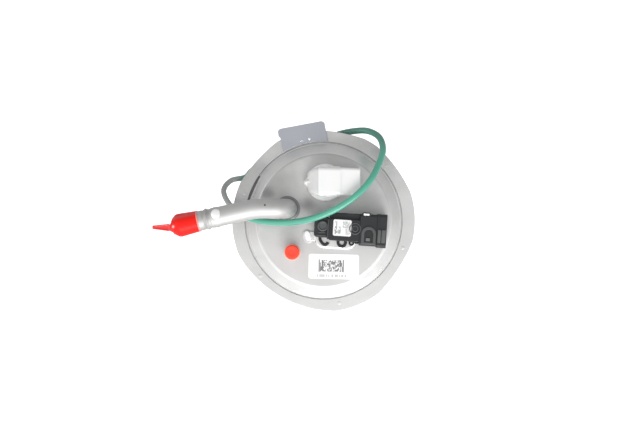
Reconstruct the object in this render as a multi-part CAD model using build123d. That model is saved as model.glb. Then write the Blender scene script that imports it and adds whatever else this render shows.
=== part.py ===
"""In-tank fuel pump module: a stamped steel tank flange that carries a bent vent pipe, a feed tube, a
bulkhead connector and a vapour pressure sensor, with a spring-loaded reservoir sliding on three guide
rods below it. The reservoir holds a turbine pump, its strainer, check valve, pressure regulator and
jet pump, and carries the fuel level sender with its float arm. The green moulded tank seal is draped
round the flange as it is for shipping.

Frame: millimetres, +Z up along the flange axis, origin at the centre of the reservoir's foot plane.
"""
from build123d import *
import math
import os

os.makedirs("parts", exist_ok=True)

# ---------------------------------------------------------------- driving dimensions
FLANGE_R = 75.0          # outer radius of the clamped rim
FLANGE_T = 1.6           # sheet thickness
SEAT_Z = 208.0           # underside of the rim, which seats on the tank seal
TOP_Z = SEAT_Z + FLANGE_T
SKIRT_FOOT_R = 63.2      # where the sloping skirt meets the rim
PLATEAU_R = 55.0         # flat raised centre
RISE = 9.0               # plateau above the rim
PLAT_Z = TOP_Z + RISE
UNDER_Z = PLAT_Z - FLANGE_T

CUP_R = 53.0             # reservoir outer radius
CUP_WALL = 2.2
CUP_TOP = 120.0
LID_TOP = 126.0
TRAVEL = 40.0            # how far the reservoir rises on its rods

ROD_R = 4.0
ROD_PCR = 43.0           # guide rods lie on this radius
ROD_ANGLES = (5.0, 125.0, 245.0)
SPRING_R = 6.6
SPRING_WIRE = 1.4

PIPE_R = 7.94            # 5/8 in vent pipe
PIPE_X, PIPE_Y = -29.6, 9.7
PIPE_AXIS_Z = TOP_Z + 37.0
FEED_R = 4.76            # 3/8 in feed tube
FEED_X, FEED_Y = -25.4, -25.5

CONN_X, CONN_Y = 0.7, 31.6     # bulkhead connector centre
PUMP_X, PUMP_Y = -3.0, -3.0
PUMP_R = 19.0
PIVOT = (0.0, -60.0, 105.0)    # float arm pivot
ARM_L = 85.0
ARM_REST = -72.0               # arm angle at the empty stop, from horizontal
SEAL_R = 2.6                   # tank seal section radius
G = 0.05                       # assembly gap between fixed neighbours


# ---------------------------------------------------------------- helpers
def cyl(r, z0, z1, x=0.0, y=0.0):
    return Pos(x, y, (z0 + z1) / 2) * Cylinder(r, z1 - z0)


def ring(ro, ri, z0, z1, x=0.0, y=0.0):
    return cyl(ro, z0, z1, x, y) - cyl(ri, z0 - 1, z1 + 1, x, y)


def cone(r0, r1, z0, z1, x=0.0, y=0.0):
    return Pos(x, y, (z0 + z1) / 2) * Cone(r0, r1, z1 - z0)


def block(x0, x1, y0, y1, z0, z1):
    return Pos((x0 + x1) / 2, (y0 + y1) / 2, (z0 + z1) / 2) * Box(x1 - x0, y1 - y0, z1 - z0)


def turned(points, x=0.0, y=0.0):
    """A solid of revolution about a vertical axis, from (radius, z) points."""
    face = make_face(Polyline(*[(r, 0, z) for r, z in points], close=True))
    return Pos(x, y, 0) * revolve(face, Axis.Z, 360)


def polar(r, a):
    return r * math.cos(math.radians(a)), r * math.sin(math.radians(a))


def arc_radii(points, closed=False, share=0.45):
    """Largest even arc at each corner: share of the shorter run over tan(half the turn)."""
    n = len(points)
    radii, turns = [], []
    idx = range(n) if closed else range(1, n - 1)
    for i in idx:
        a, b, c = Vector(*points[i - 1]), Vector(*points[i]), Vector(*points[(i + 1) % n])
        u, v = b - a, c - b
        turn = math.radians(u.get_angle(v))
        turns.append(math.degrees(turn))
        radii.append(share * min(u.length, v.length) / math.tan(turn / 2))
    return radii, turns


def tube_along(points, r, closed=False, radii=None):
    if radii is None:
        radii, _ = arc_radii(points, closed)
    path = FilletPolyline(*points, radius=radii, close=closed)
    w = path if isinstance(path, Wire) else Wire(path.edges())
    start = w.position_at(0)
    plane = Plane(origin=start, z_dir=w.tangent_at(0))
    return sweep(plane * Circle(r), path=w), w.length


def one(shape):
    return shape


def save(name, *shapes):
    solids = []
    for s in shapes:
        solids += list(s.solids())
    out = solids[0] if len(solids) == 1 else Compound(children=solids)
    export_step(out, f"parts/{name}.step")


def rounded_box(x0, x1, y0, y1, z0, z1, r, axis=Axis.Z):
    b = block(x0, x1, y0, y1, z0, z1)
    return fillet(b.edges().filter_by(axis), r)


# ================================================================ FLANGE ASSEMBLY (root body)
# Stamped cover: flat clamped rim, shallow groove, sloping skirt and raised flat centre.
profile = [
    (0, UNDER_Z), (54.5, UNDER_Z), (62.45, SEAT_Z), (FLANGE_R, SEAT_Z), (FLANGE_R, TOP_Z),
    (65.0, TOP_Z), (64.5, TOP_Z - 0.55), (63.9, TOP_Z - 0.55), (SKIRT_FOOT_R, TOP_Z + 0.15),
    (PLATEAU_R, PLAT_Z), (0, PLAT_Z),
]
cover = turned(profile)


def circle_edge(shape, r, z):
    return [e for e in shape.edges().filter_by(GeomType.CIRCLE) if abs(e.radius - r) < 0.02 and abs(e.center().Z - z) < 0.02]


cover = fillet(circle_edge(cover, PLATEAU_R, PLAT_Z), 3.6)
cover = fillet(circle_edge(cover, 54.5, UNDER_Z), 2.0)
cover = fillet(circle_edge(cover, 62.45, SEAT_Z), 2.2)
# shallow clocking flats round the rim
for ang, d in ((79, 72.8), (135, 73.1)):
    cover -= Rot(0, 0, ang) * block(d, d + 10, -40, 40, SEAT_Z - 2, TOP_Z + 2)
# broader shallow arcs: the rim is also bounded by large circles set off-centre
for ang, d, off in ((34, 73.2, 49.0), (240, 71.5, 20.7), (328, 72.8, 70.0)):
    ox, oy = polar(-off, ang)
    cover -= ring(160.0 + off, d + off, SEAT_Z - 2, TOP_Z + 2, ox, oy)
# weld projections on the rim, one every 60 degrees (the one under the tab is left out)
for ang in (41, 161, 221, 281, 341):
    x, y = polar(69.2, ang)
    cover += cone(1.3, 0.7, TOP_Z - 0.2, TOP_Z + 0.55, x, y)
# through holes
cover -= cyl(PIPE_R + G, UNDER_Z - 5, PLAT_Z + 5, PIPE_X, PIPE_Y)
cover -= cyl(FEED_R + G, UNDER_Z - 5, PLAT_Z + 5, FEED_X, FEED_Y)
cover -= cyl(11.0, UNDER_Z - 5, PLAT_Z + 5, CONN_X, CONN_Y)
cover -= cyl(7.2, UNDER_Z - 5, PLAT_Z + 5, 10.5, -6.0)
save("flange_cover", cover)

# Index tab, a separate plate spot-welded on the rim
tab = block(-23.6, 15.6, 60.0, 80.9, TOP_Z, TOP_Z + 1.2)
tab = fillet(tab.edges().filter_by(Axis.Z).group_by(Axis.Y)[-1], 3.0)
tab -= block(-30, -22.4, 62.0, 74.2, TOP_Z - 1, TOP_Z + 3)
tab = Rot(0, 0, 10.6) * tab - cyl(65.3, TOP_Z - 1, TOP_Z + 3)
dx, dy = polar(68.9, 99.6)
tab -= Pos(dx, dy, TOP_Z + 2.0) * Sphere(1.4)
tab = fillet(tab.edges().filter_by(GeomType.LINE).group_by(Axis.Z)[-1], 0.35)
save("index_tab", tab)

# Vent pipe: rises through the cover, bends to horizontal, then runs out past the rim
DIR = Vector(-math.cos(math.radians(12.5)), -math.sin(math.radians(12.5)), -0.045).normalized()
KNEE = Vector(-55.0, PIPE_Y, PIPE_AXIS_Z - 0.5)
PIPE_END = KNEE + DIR * 64.0
pipe_pts = [(PIPE_X, PIPE_Y, 205.0), (PIPE_X, PIPE_Y, PIPE_AXIS_Z), tuple(KNEE), tuple(PIPE_END)]
outer, _ = tube_along(pipe_pts, PIPE_R, radii=[23.0, 60.0])
inner, _ = tube_along(pipe_pts, PIPE_R - 1.0, radii=[23.0, 60.0])


def on_axis(s):
    """Plane square to the pipe's outer run, s mm from its end back towards the bend."""
    return Plane(origin=PIPE_END - DIR * s, z_dir=DIR)


def along(s0, s1, r):
    """A cylinder about the outer run, from s0 to s1 mm back from the pipe's end."""
    return extrude(on_axis(s1) * Circle(r), amount=s1 - s0)


bead_c = 25.2
bead_face = make_face(Polyline((PIPE_R - 0.4, 0, -2.4), (PIPE_R, 0, -2.4), (PIPE_R + 1.15, 0, -1.0),
                               (PIPE_R + 1.15, 0, 1.0), (PIPE_R, 0, 2.4), (PIPE_R - 0.4, 0, 2.4), close=True))
bead = on_axis(bead_c) * revolve(bead_face, Axis.Z, 360)
lip_face = make_face(Polyline((PIPE_R - 0.4, 0, -1.2), (PIPE_R, 0, -1.2), (PIPE_R + 0.4, 0, 0),
                              (PIPE_R, 0, 1.2), (PIPE_R - 0.4, 0, 1.2), close=True))
lip = on_axis(bead_c + 6.5) * revolve(lip_face, Axis.Z, 360)
pipe = (outer + bead + lip) - inner
# brazing collar where it meets the plateau
braze = turned([(PIPE_R - 0.3, PLAT_Z), (PIPE_R + 2.4, PLAT_Z), (PIPE_R + 1.2, PLAT_Z + 0.9), (PIPE_R - 0.3, PLAT_Z + 2.2)], PIPE_X, PIPE_Y)
pipe += braze
save("vent_pipe", pipe)

# Red slip-on cap on the vent pipe, with a tapered pull tail
cap_face = make_face(Polyline(
    (PIPE_R + 0.08, 0, 0), (PIPE_R + 0.85, 0, 0), (PIPE_R + 1.05, 0, 3.0), (PIPE_R + 1.5, 0, 14.5),
    (PIPE_R + 1.0, 0, 18.0), (PIPE_R - 1.6, 0, 22.0), (PIPE_R - 3.8, 0, 23.4), (0, 0, 23.8), (0, 0, 22.2),
    (PIPE_R - 3.0, 0, 21.6), (PIPE_R + 0.08, 0, 18.9), close=True))
CAP_MOUTH = 18.4         # mm back from the pipe's end
cap = on_axis(CAP_MOUTH) * revolve(cap_face, Axis.Z, 360)
tail_axis = (Vector(-1, 0, 0) + Vector(0, 0.02, 0)).normalized()
tail_base = PIPE_END - DIR * (CAP_MOUTH - 23.0)
tx = tail_axis
ty = Vector(0, 0, 1).cross(tx).normalized()
tail_plane = Plane(origin=tail_base + Vector(0, 0, -1.1), x_dir=tx, z_dir=(0, 0, 1))
with BuildSketch(tail_plane) as tsk:
    with BuildLine():
        Polyline((-1.5, -2.9), (1.0, -2.95), (14.0, -1.45), (15.2, -0.6), (15.2, 0.6), (14.0, 1.45), (1.0, 2.95), (-1.5, 2.9), close=True)
    make_face()
tail = extrude(tsk.sketch, amount=2.2)
cap = cap + tail - along(0.0, CAP_MOUTH + 1, PIPE_R + 0.08)
save("vent_pipe_cap", cap)

# Feed tube with hose barb below and a bead above, and its red cap
FEED_TOP = TOP_Z + 26.0
feed = ring(FEED_R, FEED_R - 0.9, 196.0, FEED_TOP, FEED_X, FEED_Y)
for zb in (198.5, 202.0):
    feed += turned([(FEED_R - 0.3, zb - 1.4), (FEED_R + 0.55, zb + 0.6), (FEED_R - 0.3, zb + 0.6)], FEED_X, FEED_Y)
feed += turned([(FEED_R - 0.3, PLAT_Z), (FEED_R + 1.9, PLAT_Z), (FEED_R + 1.0, PLAT_Z + 0.8), (FEED_R - 0.3, PLAT_Z + 1.6)], FEED_X, FEED_Y)
feed += turned([(FEED_R - 0.3, PLAT_Z + 4.6), (FEED_R + 0.9, PLAT_Z + 5.4), (FEED_R + 0.9, PLAT_Z + 6.4), (FEED_R - 0.3, PLAT_Z + 7.2)], FEED_X, FEED_Y)
save("feed_tube", feed)
fcap = ring(FEED_R + 1.15, FEED_R + 0.08, FEED_TOP - 8.5, FEED_TOP + 0.1, FEED_X, FEED_Y)
fcap += cyl(FEED_R + 1.15, FEED_TOP + 0.05, FEED_TOP + 1.7, FEED_X, FEED_Y)
fcap = fillet(fcap.edges().group_by(Axis.Z)[-1], 0.9)
fcap += ring(FEED_R + 1.5, FEED_R + 0.08, FEED_TOP - 8.5, FEED_TOP - 7.3, FEED_X, FEED_Y)
save("feed_port_cap", fcap)

# Bulkhead connector in natural nylon: domed base, horizontal shroud towards +X, snap neck below
cx, cy = CONN_X, CONN_Y
dome = turned([(0, PLAT_Z + 0.8), (15.3, PLAT_Z + 0.8), (15.3, PLAT_Z + 4.0), (14.2, PLAT_Z + 6.2), (12.0, PLAT_Z + 8.0), (0, PLAT_Z + 8.6)], cx, cy)
SH_Z0, SH_Z1 = PLAT_Z + 4.2, TOP_Z + 31.0
SH_C = (SH_Z0 + SH_Z1) / 2
shroud = rounded_box(cx - 5.2, 29.4, cy - 10.5, cy + 10.5, SH_Z0, SH_Z1, 2.0, Axis.X)
conn = dome + shroud
key = make_face(Polyline((cx - 17.6, cy - 0.3), (cx - 14.4, cy - 2.2), (cx - 13.0, cy - 2.2), (cx - 13.0, cy + 2.2), (cx - 14.4, cy + 2.2), (cx - 17.6, cy + 0.3), close=True))
conn += extrude(Pos(0, 0, PLAT_Z + 0.8) * key, amount=5.0)
conn += block(cx - 14.0, cx - 5.0, cy - 0.7, cy + 0.7, PLAT_Z + 4.0, PLAT_Z + 9.6)
conn += cyl(10.6, 203.5, PLAT_Z + 1.0, cx, cy)
conn += block(cx + 14.0, cx + 19.0, cy - 3.0, cy + 3.0, SH_Z1 - 0.2, SH_Z1 + 1.4)
cav_x0 = 14.5
conn -= rounded_box(cav_x0, 40.0, cy - 8.6, cy + 8.6, SH_Z0 + 2.0, SH_Z1 - 2.0, 1.2, Axis.X)
conn -= block(cx - 7.5, cx + 7.5, cy - 5.0, cy + 5.0, 195.0, 211.0)
PIN_Y = (-6.0, -2.0, 2.0, 6.0)
for py in PIN_Y:
    conn -= block(8.0, cav_x0 + 1, cy + py - 0.8, cy + py + 0.8, SH_C - 0.45, SH_C + 0.45)
LOW_PINS = (-4.5, -1.5, 1.5, 4.5)
for px in LOW_PINS:
    conn -= block(cx + px - 0.75, cx + px + 0.75, cy - 0.45, cy + 0.45, 210.0, 216.0)
save("bulkhead_connector", conn)
pins = [block(8.05, 25.0, cy + py - 0.75, cy + py + 0.75, SH_C - 0.4, SH_C + 0.4) for py in PIN_Y]
pins += [block(cx + px - 0.7, cx + px + 0.7, cy - 0.4, cy + 0.4, 204.5, 215.9) for px in LOW_PINS]
save("connector_terminals", *pins)
gasket = turned([(11.4, PLAT_Z + G), (14.4, PLAT_Z + G), (14.4, PLAT_Z + 0.75), (11.4, PLAT_Z + 0.75)], cx, cy)
save("connector_gasket", gasket)

retainer = turned([(10.65, UNDER_Z - 0.1), (14.6, UNDER_Z - 0.1), (14.6, UNDER_Z - 1.0), (12.2, UNDER_Z - 1.0), (10.65, UNDER_Z - 2.2)], cx, cy)
save("connector_retainer", retainer)

# Sensor bracket: bright stamped plate on the plateau with a rounded ear
BR_T = 2.5
SROT = Pos(21.0, -6.5, 0) * Rot(0, 0, -3.6)
br = rounded_box(-28.0, 6.5, -17.3, 12.0, PLAT_Z, PLAT_Z + BR_T, 8.0)
br = SROT * chamfer(br.edges().group_by(Axis.Z)[-1], 1.6)
EAR_X, EAR_Y = -12.8, -13.6
pad = Pos(EAR_X, EAR_Y, PLAT_Z) * (Rot(0, 0, 14) * extrude(Ellipse(4.7, 5.9), amount=1.4))
ear = Pos(EAR_X + 0.1, EAR_Y + 0.7, 0) * (Rot(0, 0, 14) * extrude(SlotOverall(9.6, 5.0, rotation=90), amount=BR_T + 0.8))
ear = Pos(0, 0, PLAT_Z) * fillet(ear.edges().group_by(Axis.Z)[-1], 1.5)
bridge = block(-12.5, -5.0, -16.5, -9.0, PLAT_Z, PLAT_Z + 1.4)
br = br + pad + ear + bridge
br -= cyl(7.2, PLAT_Z - 1, PLAT_Z + 6, 10.5, -6.0)
save("sensor_bracket", br)

# Grommet in the cover's sensor port
grommet = turned([(4.3, 211.0), (6.2, 211.0), (8.8, UNDER_Z - 1.6), (8.8, UNDER_Z - G), (7.1, UNDER_Z - G),
                  (7.1, PLAT_Z + BR_T - 0.3), (4.3, PLAT_Z + BR_T - 0.3)], 10.5, -6.0)
save("sensor_grommet", grommet)

# Vapour pressure sensor, black, its connector towards +X and turned 3.6 degrees
SB = PLAT_Z + BR_T          # the sensor's base plane
left = rounded_box(-28.6, -15.0, -8.4, 8.6, SB, SB + 12.5, 2.6)
left = chamfer(left.edges().group_by(Axis.Z)[-1], 0.8)
mid = rounded_box(-16.0, 8.6, -10.2, 12.4, SB, SB + 19.5, 1.2)
mid -= block(-20, 10, 7.0, 20, SB + 16.2, SB + 30)
mid = chamfer(mid.edges().group_by(Axis.Z)[-1], 0.6)
sh = rounded_box(8.0, 29.0, -13.0, 12.6, SB + 0.6, SB + 20.3, 2.4, Axis.X)
collar = rounded_box(21.8, 29.6, -13.9, 13.2, SB + 0.1, SB + 21.1, 2.6, Axis.X)
button = cyl(4.2, SB + 12.4, SB + 14.0, -22.2, 1.4)
button -= cyl(2.6, SB + 13.4, SB + 15, -22.2, 1.4)
ribs = [block(-27.0, -17.0, y - 0.45, y + 0.45, SB + 12.4, SB + 13.3) for y in (-5.4, -7.2)]
latch = block(12.6, 18.4, 12.5, 14.4, SB + 12.0, SB + 17.5)
latch = chamfer(latch.edges().filter_by(Axis.Z).group_by(Axis.Y)[-1], 1.2)
boss = cyl(5.6, SB + 19.4, SB + 20.2, 2.8, -0.6) - cyl(4.6, SB + 19.8, SB + 21, 2.8, -0.6) - block(-14.0, 1.4, -6.6, 7.2, SB + 19.5, SB + 22)
ramp = ring(6.0, 4.2, SB + 20.0, SB + 21.6, 16.0, -3.6) - block(8.0, 24.0, -12.0, -3.6, SB + 19, SB + 23)
ramp += block(10.0, 11.8, -10.5, -3.6, SB + 20.0, SB + 21.6) + block(20.2, 22.0, -10.5, -3.6, SB + 20.0, SB + 21.6)
ramp += block(13.0, 16.2, -9.6, -7.4, SB + 20.0, SB + 21.2) + boss
hooks = []
for hx in (-20.1, -5.4):
    h = block(hx - 3.4, hx + 3.4, -15.4, -8.0, SB, SB + 4.4)
    h = fillet(h.edges().filter_by(Axis.Z).group_by(Axis.Y)[0], 2.6)
    h -= cyl(1.9, SB - 1, SB + 6, hx + 0.3, -12.2)
    hooks.append(h)
hooks.append(cyl(2.3, SB, SB + 4.5, 2.4, -11.7) - cyl(0.95, SB - 1, SB + 6, 2.4, -11.7))
hooks.append(block(5.0, 8.6, -12.0, -9.0, SB, SB + 6.0))
sensor = left + mid + sh + collar + button + latch + ramp
for s in ribs + hooks:
    sensor += s
CAV = (15.0, 31.0, -10.0, 10.0, SB + 3.4, SB + 17.6)
sensor -= rounded_box(*CAV, 1.6, Axis.X)
SPIN = SB + 10.5
for py in (-5.0, 0.0, 5.0):
    sensor -= block(9.0, 16.0, py - 0.8, py + 0.8, SPIN - 0.45, SPIN + 0.45)
sensor = SROT * sensor
sensor += cyl(4.25, 209.5, SB + 1.0, 10.5, -6.0)
sensor -= cyl(1.6, 205.0, SB + 6.0, 10.5, -6.0)
save("pressure_sensor", sensor)
spins = [SROT * block(9.05, 25.5, py - 0.75, py + 0.75, SPIN - 0.4, SPIN + 0.4) for py in (-5.0, 0.0, 5.0)]
save("sensor_terminals", *spins)
slab = SROT * rounded_box(-13.4, 1.2, -6.2, 6.9, SB + 19.5, SB + 19.65, 1.3)
save("sensor_label", slab)
idl = Pos(8.3, -37.6, 0) * (Rot(0, 0, -1.2) * rounded_box(-20.6, 20.6, -10.2, 10.2, PLAT_Z, PLAT_Z + 0.15, 2.0))
save("id_label", idl)

# Tank seal: one closed moulded ring of round section, draped over the flange and hanging behind it
seal_pts = [
    (-65.2, 35.9, -10.0), (-76.6, 33.1, -5.0), (-82.3, 24.7, 1.0), (-77.2, 13.5, 6.5), (-66.7, 4.9, 10.5),
    (-53.4, -0.4, 14.5), (-38.5, -2.3, 18.5), (-23.2, -0.9, 23.5), (-7.0, 4.0, 29.0), (8.9, 12.0, 33.8),
    (22.8, 22.4, 36.6), (34.1, 34.5, 33.8), (43.1, 47.2, 24.0), (48.4, 58.3, 13.5), (45.9, 68.4, 3.0),
    (37.4, 74.0, -5.0), (27.0, 74.6, -10.5),
]
ex, ey = -0.923, -0.387      # along the chord behind the flange
nx, ny = -0.387, 0.923       # outwards
for s, z, d in ((2.0, -16.5, 61.5), (9.0, -29.0, 61.8), (12.5, -46.0, 62.2), (17.5, -64.0, 62.6), (29.0, -77.0, 62.8),
                (44.0, -81.5, 62.8), (59.0, -77.5, 62.6), (69.5, -64.0, 62.2), (74.0, -46.0, 61.8), (77.5, -29.5, 61.5),
                (82.5, -17.0, 61.5)):
    bx, by = 17.1 + ex * s, 70.4 + ey * s
    cur = bx * nx + by * ny
    seal_pts.append((bx + nx * (d - cur), by + ny * (d - cur), z))
seal_pts = [(x, y, TOP_Z + z) for x, y, z in seal_pts]
rad, turns = arc_radii(seal_pts, closed=True)
print("seal radii", [round(r) for r in rad])
print("seal turns", [round(t) for t in turns])
seal_wire = Wire(FilletPolyline(*seal_pts, radius=rad, close=True).edges())
seal_edges = list(seal_wire.edges())
seal_len = sum(e.length for e in seal_edges)
seal = None
for e in seal_edges:
    piece = sweep(Plane(origin=e @ 0, z_dir=e % 0) * Circle(SEAL_R), path=Wire([e]))
    seal = piece if seal is None else seal.fuse(piece)
print("seal length", round(seal_len, 1), "volume", round(seal.volume), "expected", round(math.pi * SEAL_R ** 2 * seal_len))
save("tank_seal", seal)

# Guide rods, crimped to the cover, with a retaining clip at each foot
rods, clips, springs, washers = [], [], [], []
for a in ROD_ANGLES:
    x, y = polar(ROD_PCR, a)
    r = ring(ROD_R, ROD_R - 1.0, 96.5, UNDER_Z - G, x, y)
    r += ring(ROD_R + 4.6, ROD_R - 1.0, UNDER_Z - 1.6, UNDER_Z - G, x, y)
    r -= ring(ROD_R + 1, ROD_R - 0.5, 98.6, 99.9, x, y)
    rods.append(r)
    c = ring(ROD_R + 2.6, ROD_R - 0.45, 98.7, 99.8, x, y)
    c -= Pos(x, y, 99.2) * (Rot(0, 0, a + 180) * Pos(6, 0, 0) * Box(12, 2 * ROD_R - 2.2, 4))
    clips.append(c)
save("guide_rods", *rods)
save("rod_retaining_clips", *clips)

# Lift springs round the rods, between the cover and the lid's bosses
BOSS_TOP = 132.0
for a in ROD_ANGLES:
    x, y = polar(ROD_PCR, a)
    z0, z1 = BOSS_TOP + SPRING_WIRE / 2 + 0.05, UNDER_Z - 1.6 - SPRING_WIRE / 2 - 0.05
    helix = Pos(x, y, z0) * Helix(pitch=(z1 - z0) / 9.0, height=z1 - z0, radius=SPRING_R)
    w = Wire(helix.edges())
    prof = Plane(origin=w.position_at(0), z_dir=w.tangent_at(0)) * Circle(SPRING_WIRE / 2)
    springs.append(sweep(prof, path=w, is_frenet=True))
save("lift_springs", *springs)

# Vent valve under the cover at the pipe's foot: housing, base, float and spring
VX, VY = PIPE_X, PIPE_Y
vh = ring(15.5, 13.9, 178.0, 206.0, VX, VY)
vh += turned([(PIPE_R + 0.1, 206.0), (15.5, 206.0), (15.5, 208.0), (11.5, 211.5), (11.5, UNDER_Z - 0.1), (PIPE_R + 0.1, UNDER_Z - 0.1)], VX, VY)
vh += turned([(3.2, 203.0), (13.95, 203.0), (13.95, 205.0), (3.2, 205.0)], VX, VY)
for k in range(4):
    vh -= Pos(VX, VY, 192.0) * (Rot(0, 0, 45 + 90 * k) * Pos(14.5, 0, 0) * Box(8, 5, 9))
save("vent_valve_housing", vh)
vb = cyl(13.8, 176.5, 179.5, VX, VY) + cyl(15.5, 175.0, 177.9, VX, VY)
for k in range(4):
    px, py = polar(9.2, 90 * k)
    vb -= cyl(2.2, 170, 185, VX + px, VY + py)
vb += ring(6.6, 5.2, 179.4, 182.8, VX, VY)
save("vent_valve_base", vb)
vf = cyl(12.6, 183.0, 197.0, VX, VY) - cyl(4.8, 182.0, 193.0, VX, VY)
vf += cone(4.4, 2.2, 196.9, 200.0, VX, VY)
save("vent_valve_float", vf)


def coil(x, y, r, wire, z0, z1, turns_n):
    h = Pos(x, y, z0 + wire / 2) * Helix(pitch=(z1 - z0 - wire) / turns_n, height=z1 - z0 - wire, radius=r)
    w = Wire(h.edges())
    prof = Plane(origin=w.position_at(0), z_dir=w.tangent_at(0)) * Circle(wire / 2)
    return sweep(prof, path=w, is_frenet=True)


save("vent_valve_spring", coil(VX, VY, 3.9 - 1.0, 0.6, 179.55, 192.9, 6))

# ================================================================ RESERVOIR
boss_xy = [polar(ROD_PCR, a) for a in ROD_ANGLES]
cup = ring(CUP_R, CUP_R - CUP_WALL, 4.0, CUP_TOP) + cyl(CUP_R, 4.0, 6.4)
cup += cyl(14.0, 0.0, 4.1)
for k in range(6):
    seg = ring(49.5, 42.5, 0.0, 4.1)
    wedge = Rot(0, 0, 30 + 60 * k) * block(20, 60, -11, 11, -1, 6)
    cup += seg & wedge
for k in range(12):
    cup += Rot(0, 0, 15 + 30 * k) * block(CUP_R - 0.5, CUP_R + 0.9, -1.1, 1.1, 8.0, 96.0)
cup += ring(CUP_R + 0.9, CUP_R - 0.5, 98.0, 101.0)
# flat pad on the -Y side that carries the level sender
cup += block(-17.0, 17.0, -54.6, -48.0, 60.0, 117.0) - cyl(CUP_R - CUP_WALL + 0.4, 50, 130)
UMB_X = 30.0
# floor openings: umbrella valve seat and jet inlet
cup -= cyl(2.0, -1, 8, UMB_X, 0)
for k in range(6):
    px, py = polar(5.6, 60 * k)
    cup -= cyl(1.5, 3, 8, UMB_X + px, py)
cup -= cyl(3.1, 3, 8, -28.0, 22.0)
# side windows near the rim for return flow
for a in (40, 90, 200):
    cup -= Rot(0, 0, a) * block(40, 60, -6, 6, 106.0, 113.0)
save("reservoir_cup", cup)

OUT_DX, OUT_DY = -4.6, -4.6
# Lid with three guide bosses, snap skirt, pump opening and hose outlet
lid = cyl(CUP_R + 2.5, CUP_TOP + 0.02, LID_TOP)
lid += ring(CUP_R + 2.5, CUP_R + 0.1, CUP_TOP - 9.0, CUP_TOP + 0.5)
lid += ring(CUP_R - CUP_WALL - 0.15, CUP_R - CUP_WALL - 2.0, CUP_TOP - 6.0, CUP_TOP + 0.5)
lid = fillet(lid.edges().group_by(Axis.Z)[-1], 1.6)
lid -= ring(36.0, 23.5, LID_TOP - 2.2, LID_TOP + 1, PUMP_X, PUMP_Y)
for x, y in boss_xy:
    lid += cyl(7.6, 100.5, BOSS_TOP, x, y)
for x, y in boss_xy:
    lid -= cyl(ROD_R + 1.45, 90, 140, x, y)
lid += ring(17.5, 14.2, CUP_TOP, LID_TOP + 1.2, PUMP_X, PUMP_Y)
# sleeve that carries the pump and its isolator, with three windows
sleeve = ring(25.6, 23.7, 34.0, CUP_TOP + 1.0, PUMP_X, PUMP_Y)
for a in (15, 135, 255):
    sleeve -= Pos(PUMP_X, PUMP_Y, 70.0) * (Rot(0, 0, a) * Pos(24, 0, 0) * Box(14, 22, 52))
lid += sleeve
lid -= cyl(14.2, 110, 140, PUMP_X, PUMP_Y)
REG_X, REG_Y = 26.5, -23.5
lid += cyl(13.6, CUP_TOP, 136.9, REG_X, REG_Y)
lid -= cyl(11.05, 116.0, 140, REG_X, REG_Y)
lid -= cyl(3.0, 100.0, 125.0, REG_X, REG_Y)
TEE_Z = 131.5
TEE = Vector(REG_X - (PUMP_X + OUT_DX), REG_Y - (PUMP_Y + OUT_DY), 0)
TEE_PLANE = Plane(origin=(PUMP_X + OUT_DX, PUMP_Y + OUT_DY, TEE_Z), z_dir=TEE.normalized())
lid -= extrude(TEE_PLANE * Circle(2.75), amount=TEE.length)
lid -= block(-19.0, 19.0, -60.0, -45.0, 100.0, CUP_TOP - 1.0) - cyl(CUP_R, 90, 130)
for a in (60, 180, 300):
    lid -= Rot(0, 0, a) * block(CUP_R - 1, 60, -4, 4, CUP_TOP - 7.0, CUP_TOP - 3.5)
save("reservoir_lid", lid)
bush = [ring(ROD_R + 1.4, ROD_R + 0.06, 100.5, BOSS_TOP, x, y) for x, y in boss_xy]
save("guide_bushings", *bush)

# Pump: steel shell, inlet plate, outlet end cap, magnets, brushes, with a rubber isolator round it
P0, P1 = 22.0, 110.0
save("pump_shell", ring(PUMP_R, PUMP_R - 1.3, P0, P1, PUMP_X, PUMP_Y))
inlet = cyl(PUMP_R - 1.35, P0, P0 + 5.0, PUMP_X, PUMP_Y) + ring(5.5, 3.6, P0 - 6.0, P0 + 0.1, PUMP_X + 9, PUMP_Y)
inlet += cyl(3.6, P0 + 4.9, P0 + 7.0, PUMP_X, PUMP_Y)
inlet -= cyl(3.6, P0 - 8, P0 + 5.2, PUMP_X + 9, PUMP_Y)
inlet -= cyl(1.6, P0 + 3, P0 + 9, PUMP_X, PUMP_Y)
save("pump_inlet_plate", inlet)
body = ring(PUMP_R - 1.35, 3.0, P0 + 9.5, P0 + 14.0, PUMP_X, PUMP_Y)
body += ring(PUMP_R - 1.35, PUMP_R - 3.0, P0 + 5.05, P0 + 9.6, PUMP_X, PUMP_Y)
for k in range(3):
    px, py = polar(12.0, 30 + 120 * k)
    body -= cyl(1.8, P0 + 8, P0 + 16, PUMP_X + px, PUMP_Y + py)
save("pump_impeller_housing", body)
endcap = cyl(PUMP_R - 1.35, P1 - 12.0, P1 - 0.5, PUMP_X, PUMP_Y) + cyl(13.9, P1 - 0.6, P1 + 6.0, PUMP_X, PUMP_Y)
endcap += ring(4.0, 2.6, P1 + 5.9, P1 + 17.0, PUMP_X + OUT_DX, PUMP_Y + OUT_DY)
endcap -= cyl(2.6, P1 - 4.0, P1 + 30, PUMP_X + OUT_DX, PUMP_Y + OUT_DY)
endcap -= cyl(4.6, P1 - 8.0, P1 + 0.5, PUMP_X + OUT_DX, PUMP_Y + OUT_DY)
endcap -= cyl(1.7, P1 - 13.0, P1 - 8.0, PUMP_X + OUT_DX, PUMP_Y + OUT_DY)
endcap -= cyl(1.6, P1 - 13.0, P1 - 6.0, PUMP_X, PUMP_Y)
endcap -= block(PUMP_X + 3.2, PUMP_X + 8.8, PUMP_Y - 7.0, PUMP_Y - 1.0, P1 - 13, P1 - 1.0)
endcap -= block(PUMP_X + 3.2, PUMP_X + 8.8, PUMP_Y + 1.0, PUMP_Y + 7.0, P1 - 13, P1 - 1.0)
save("pump_end_cap", endcap)
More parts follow.
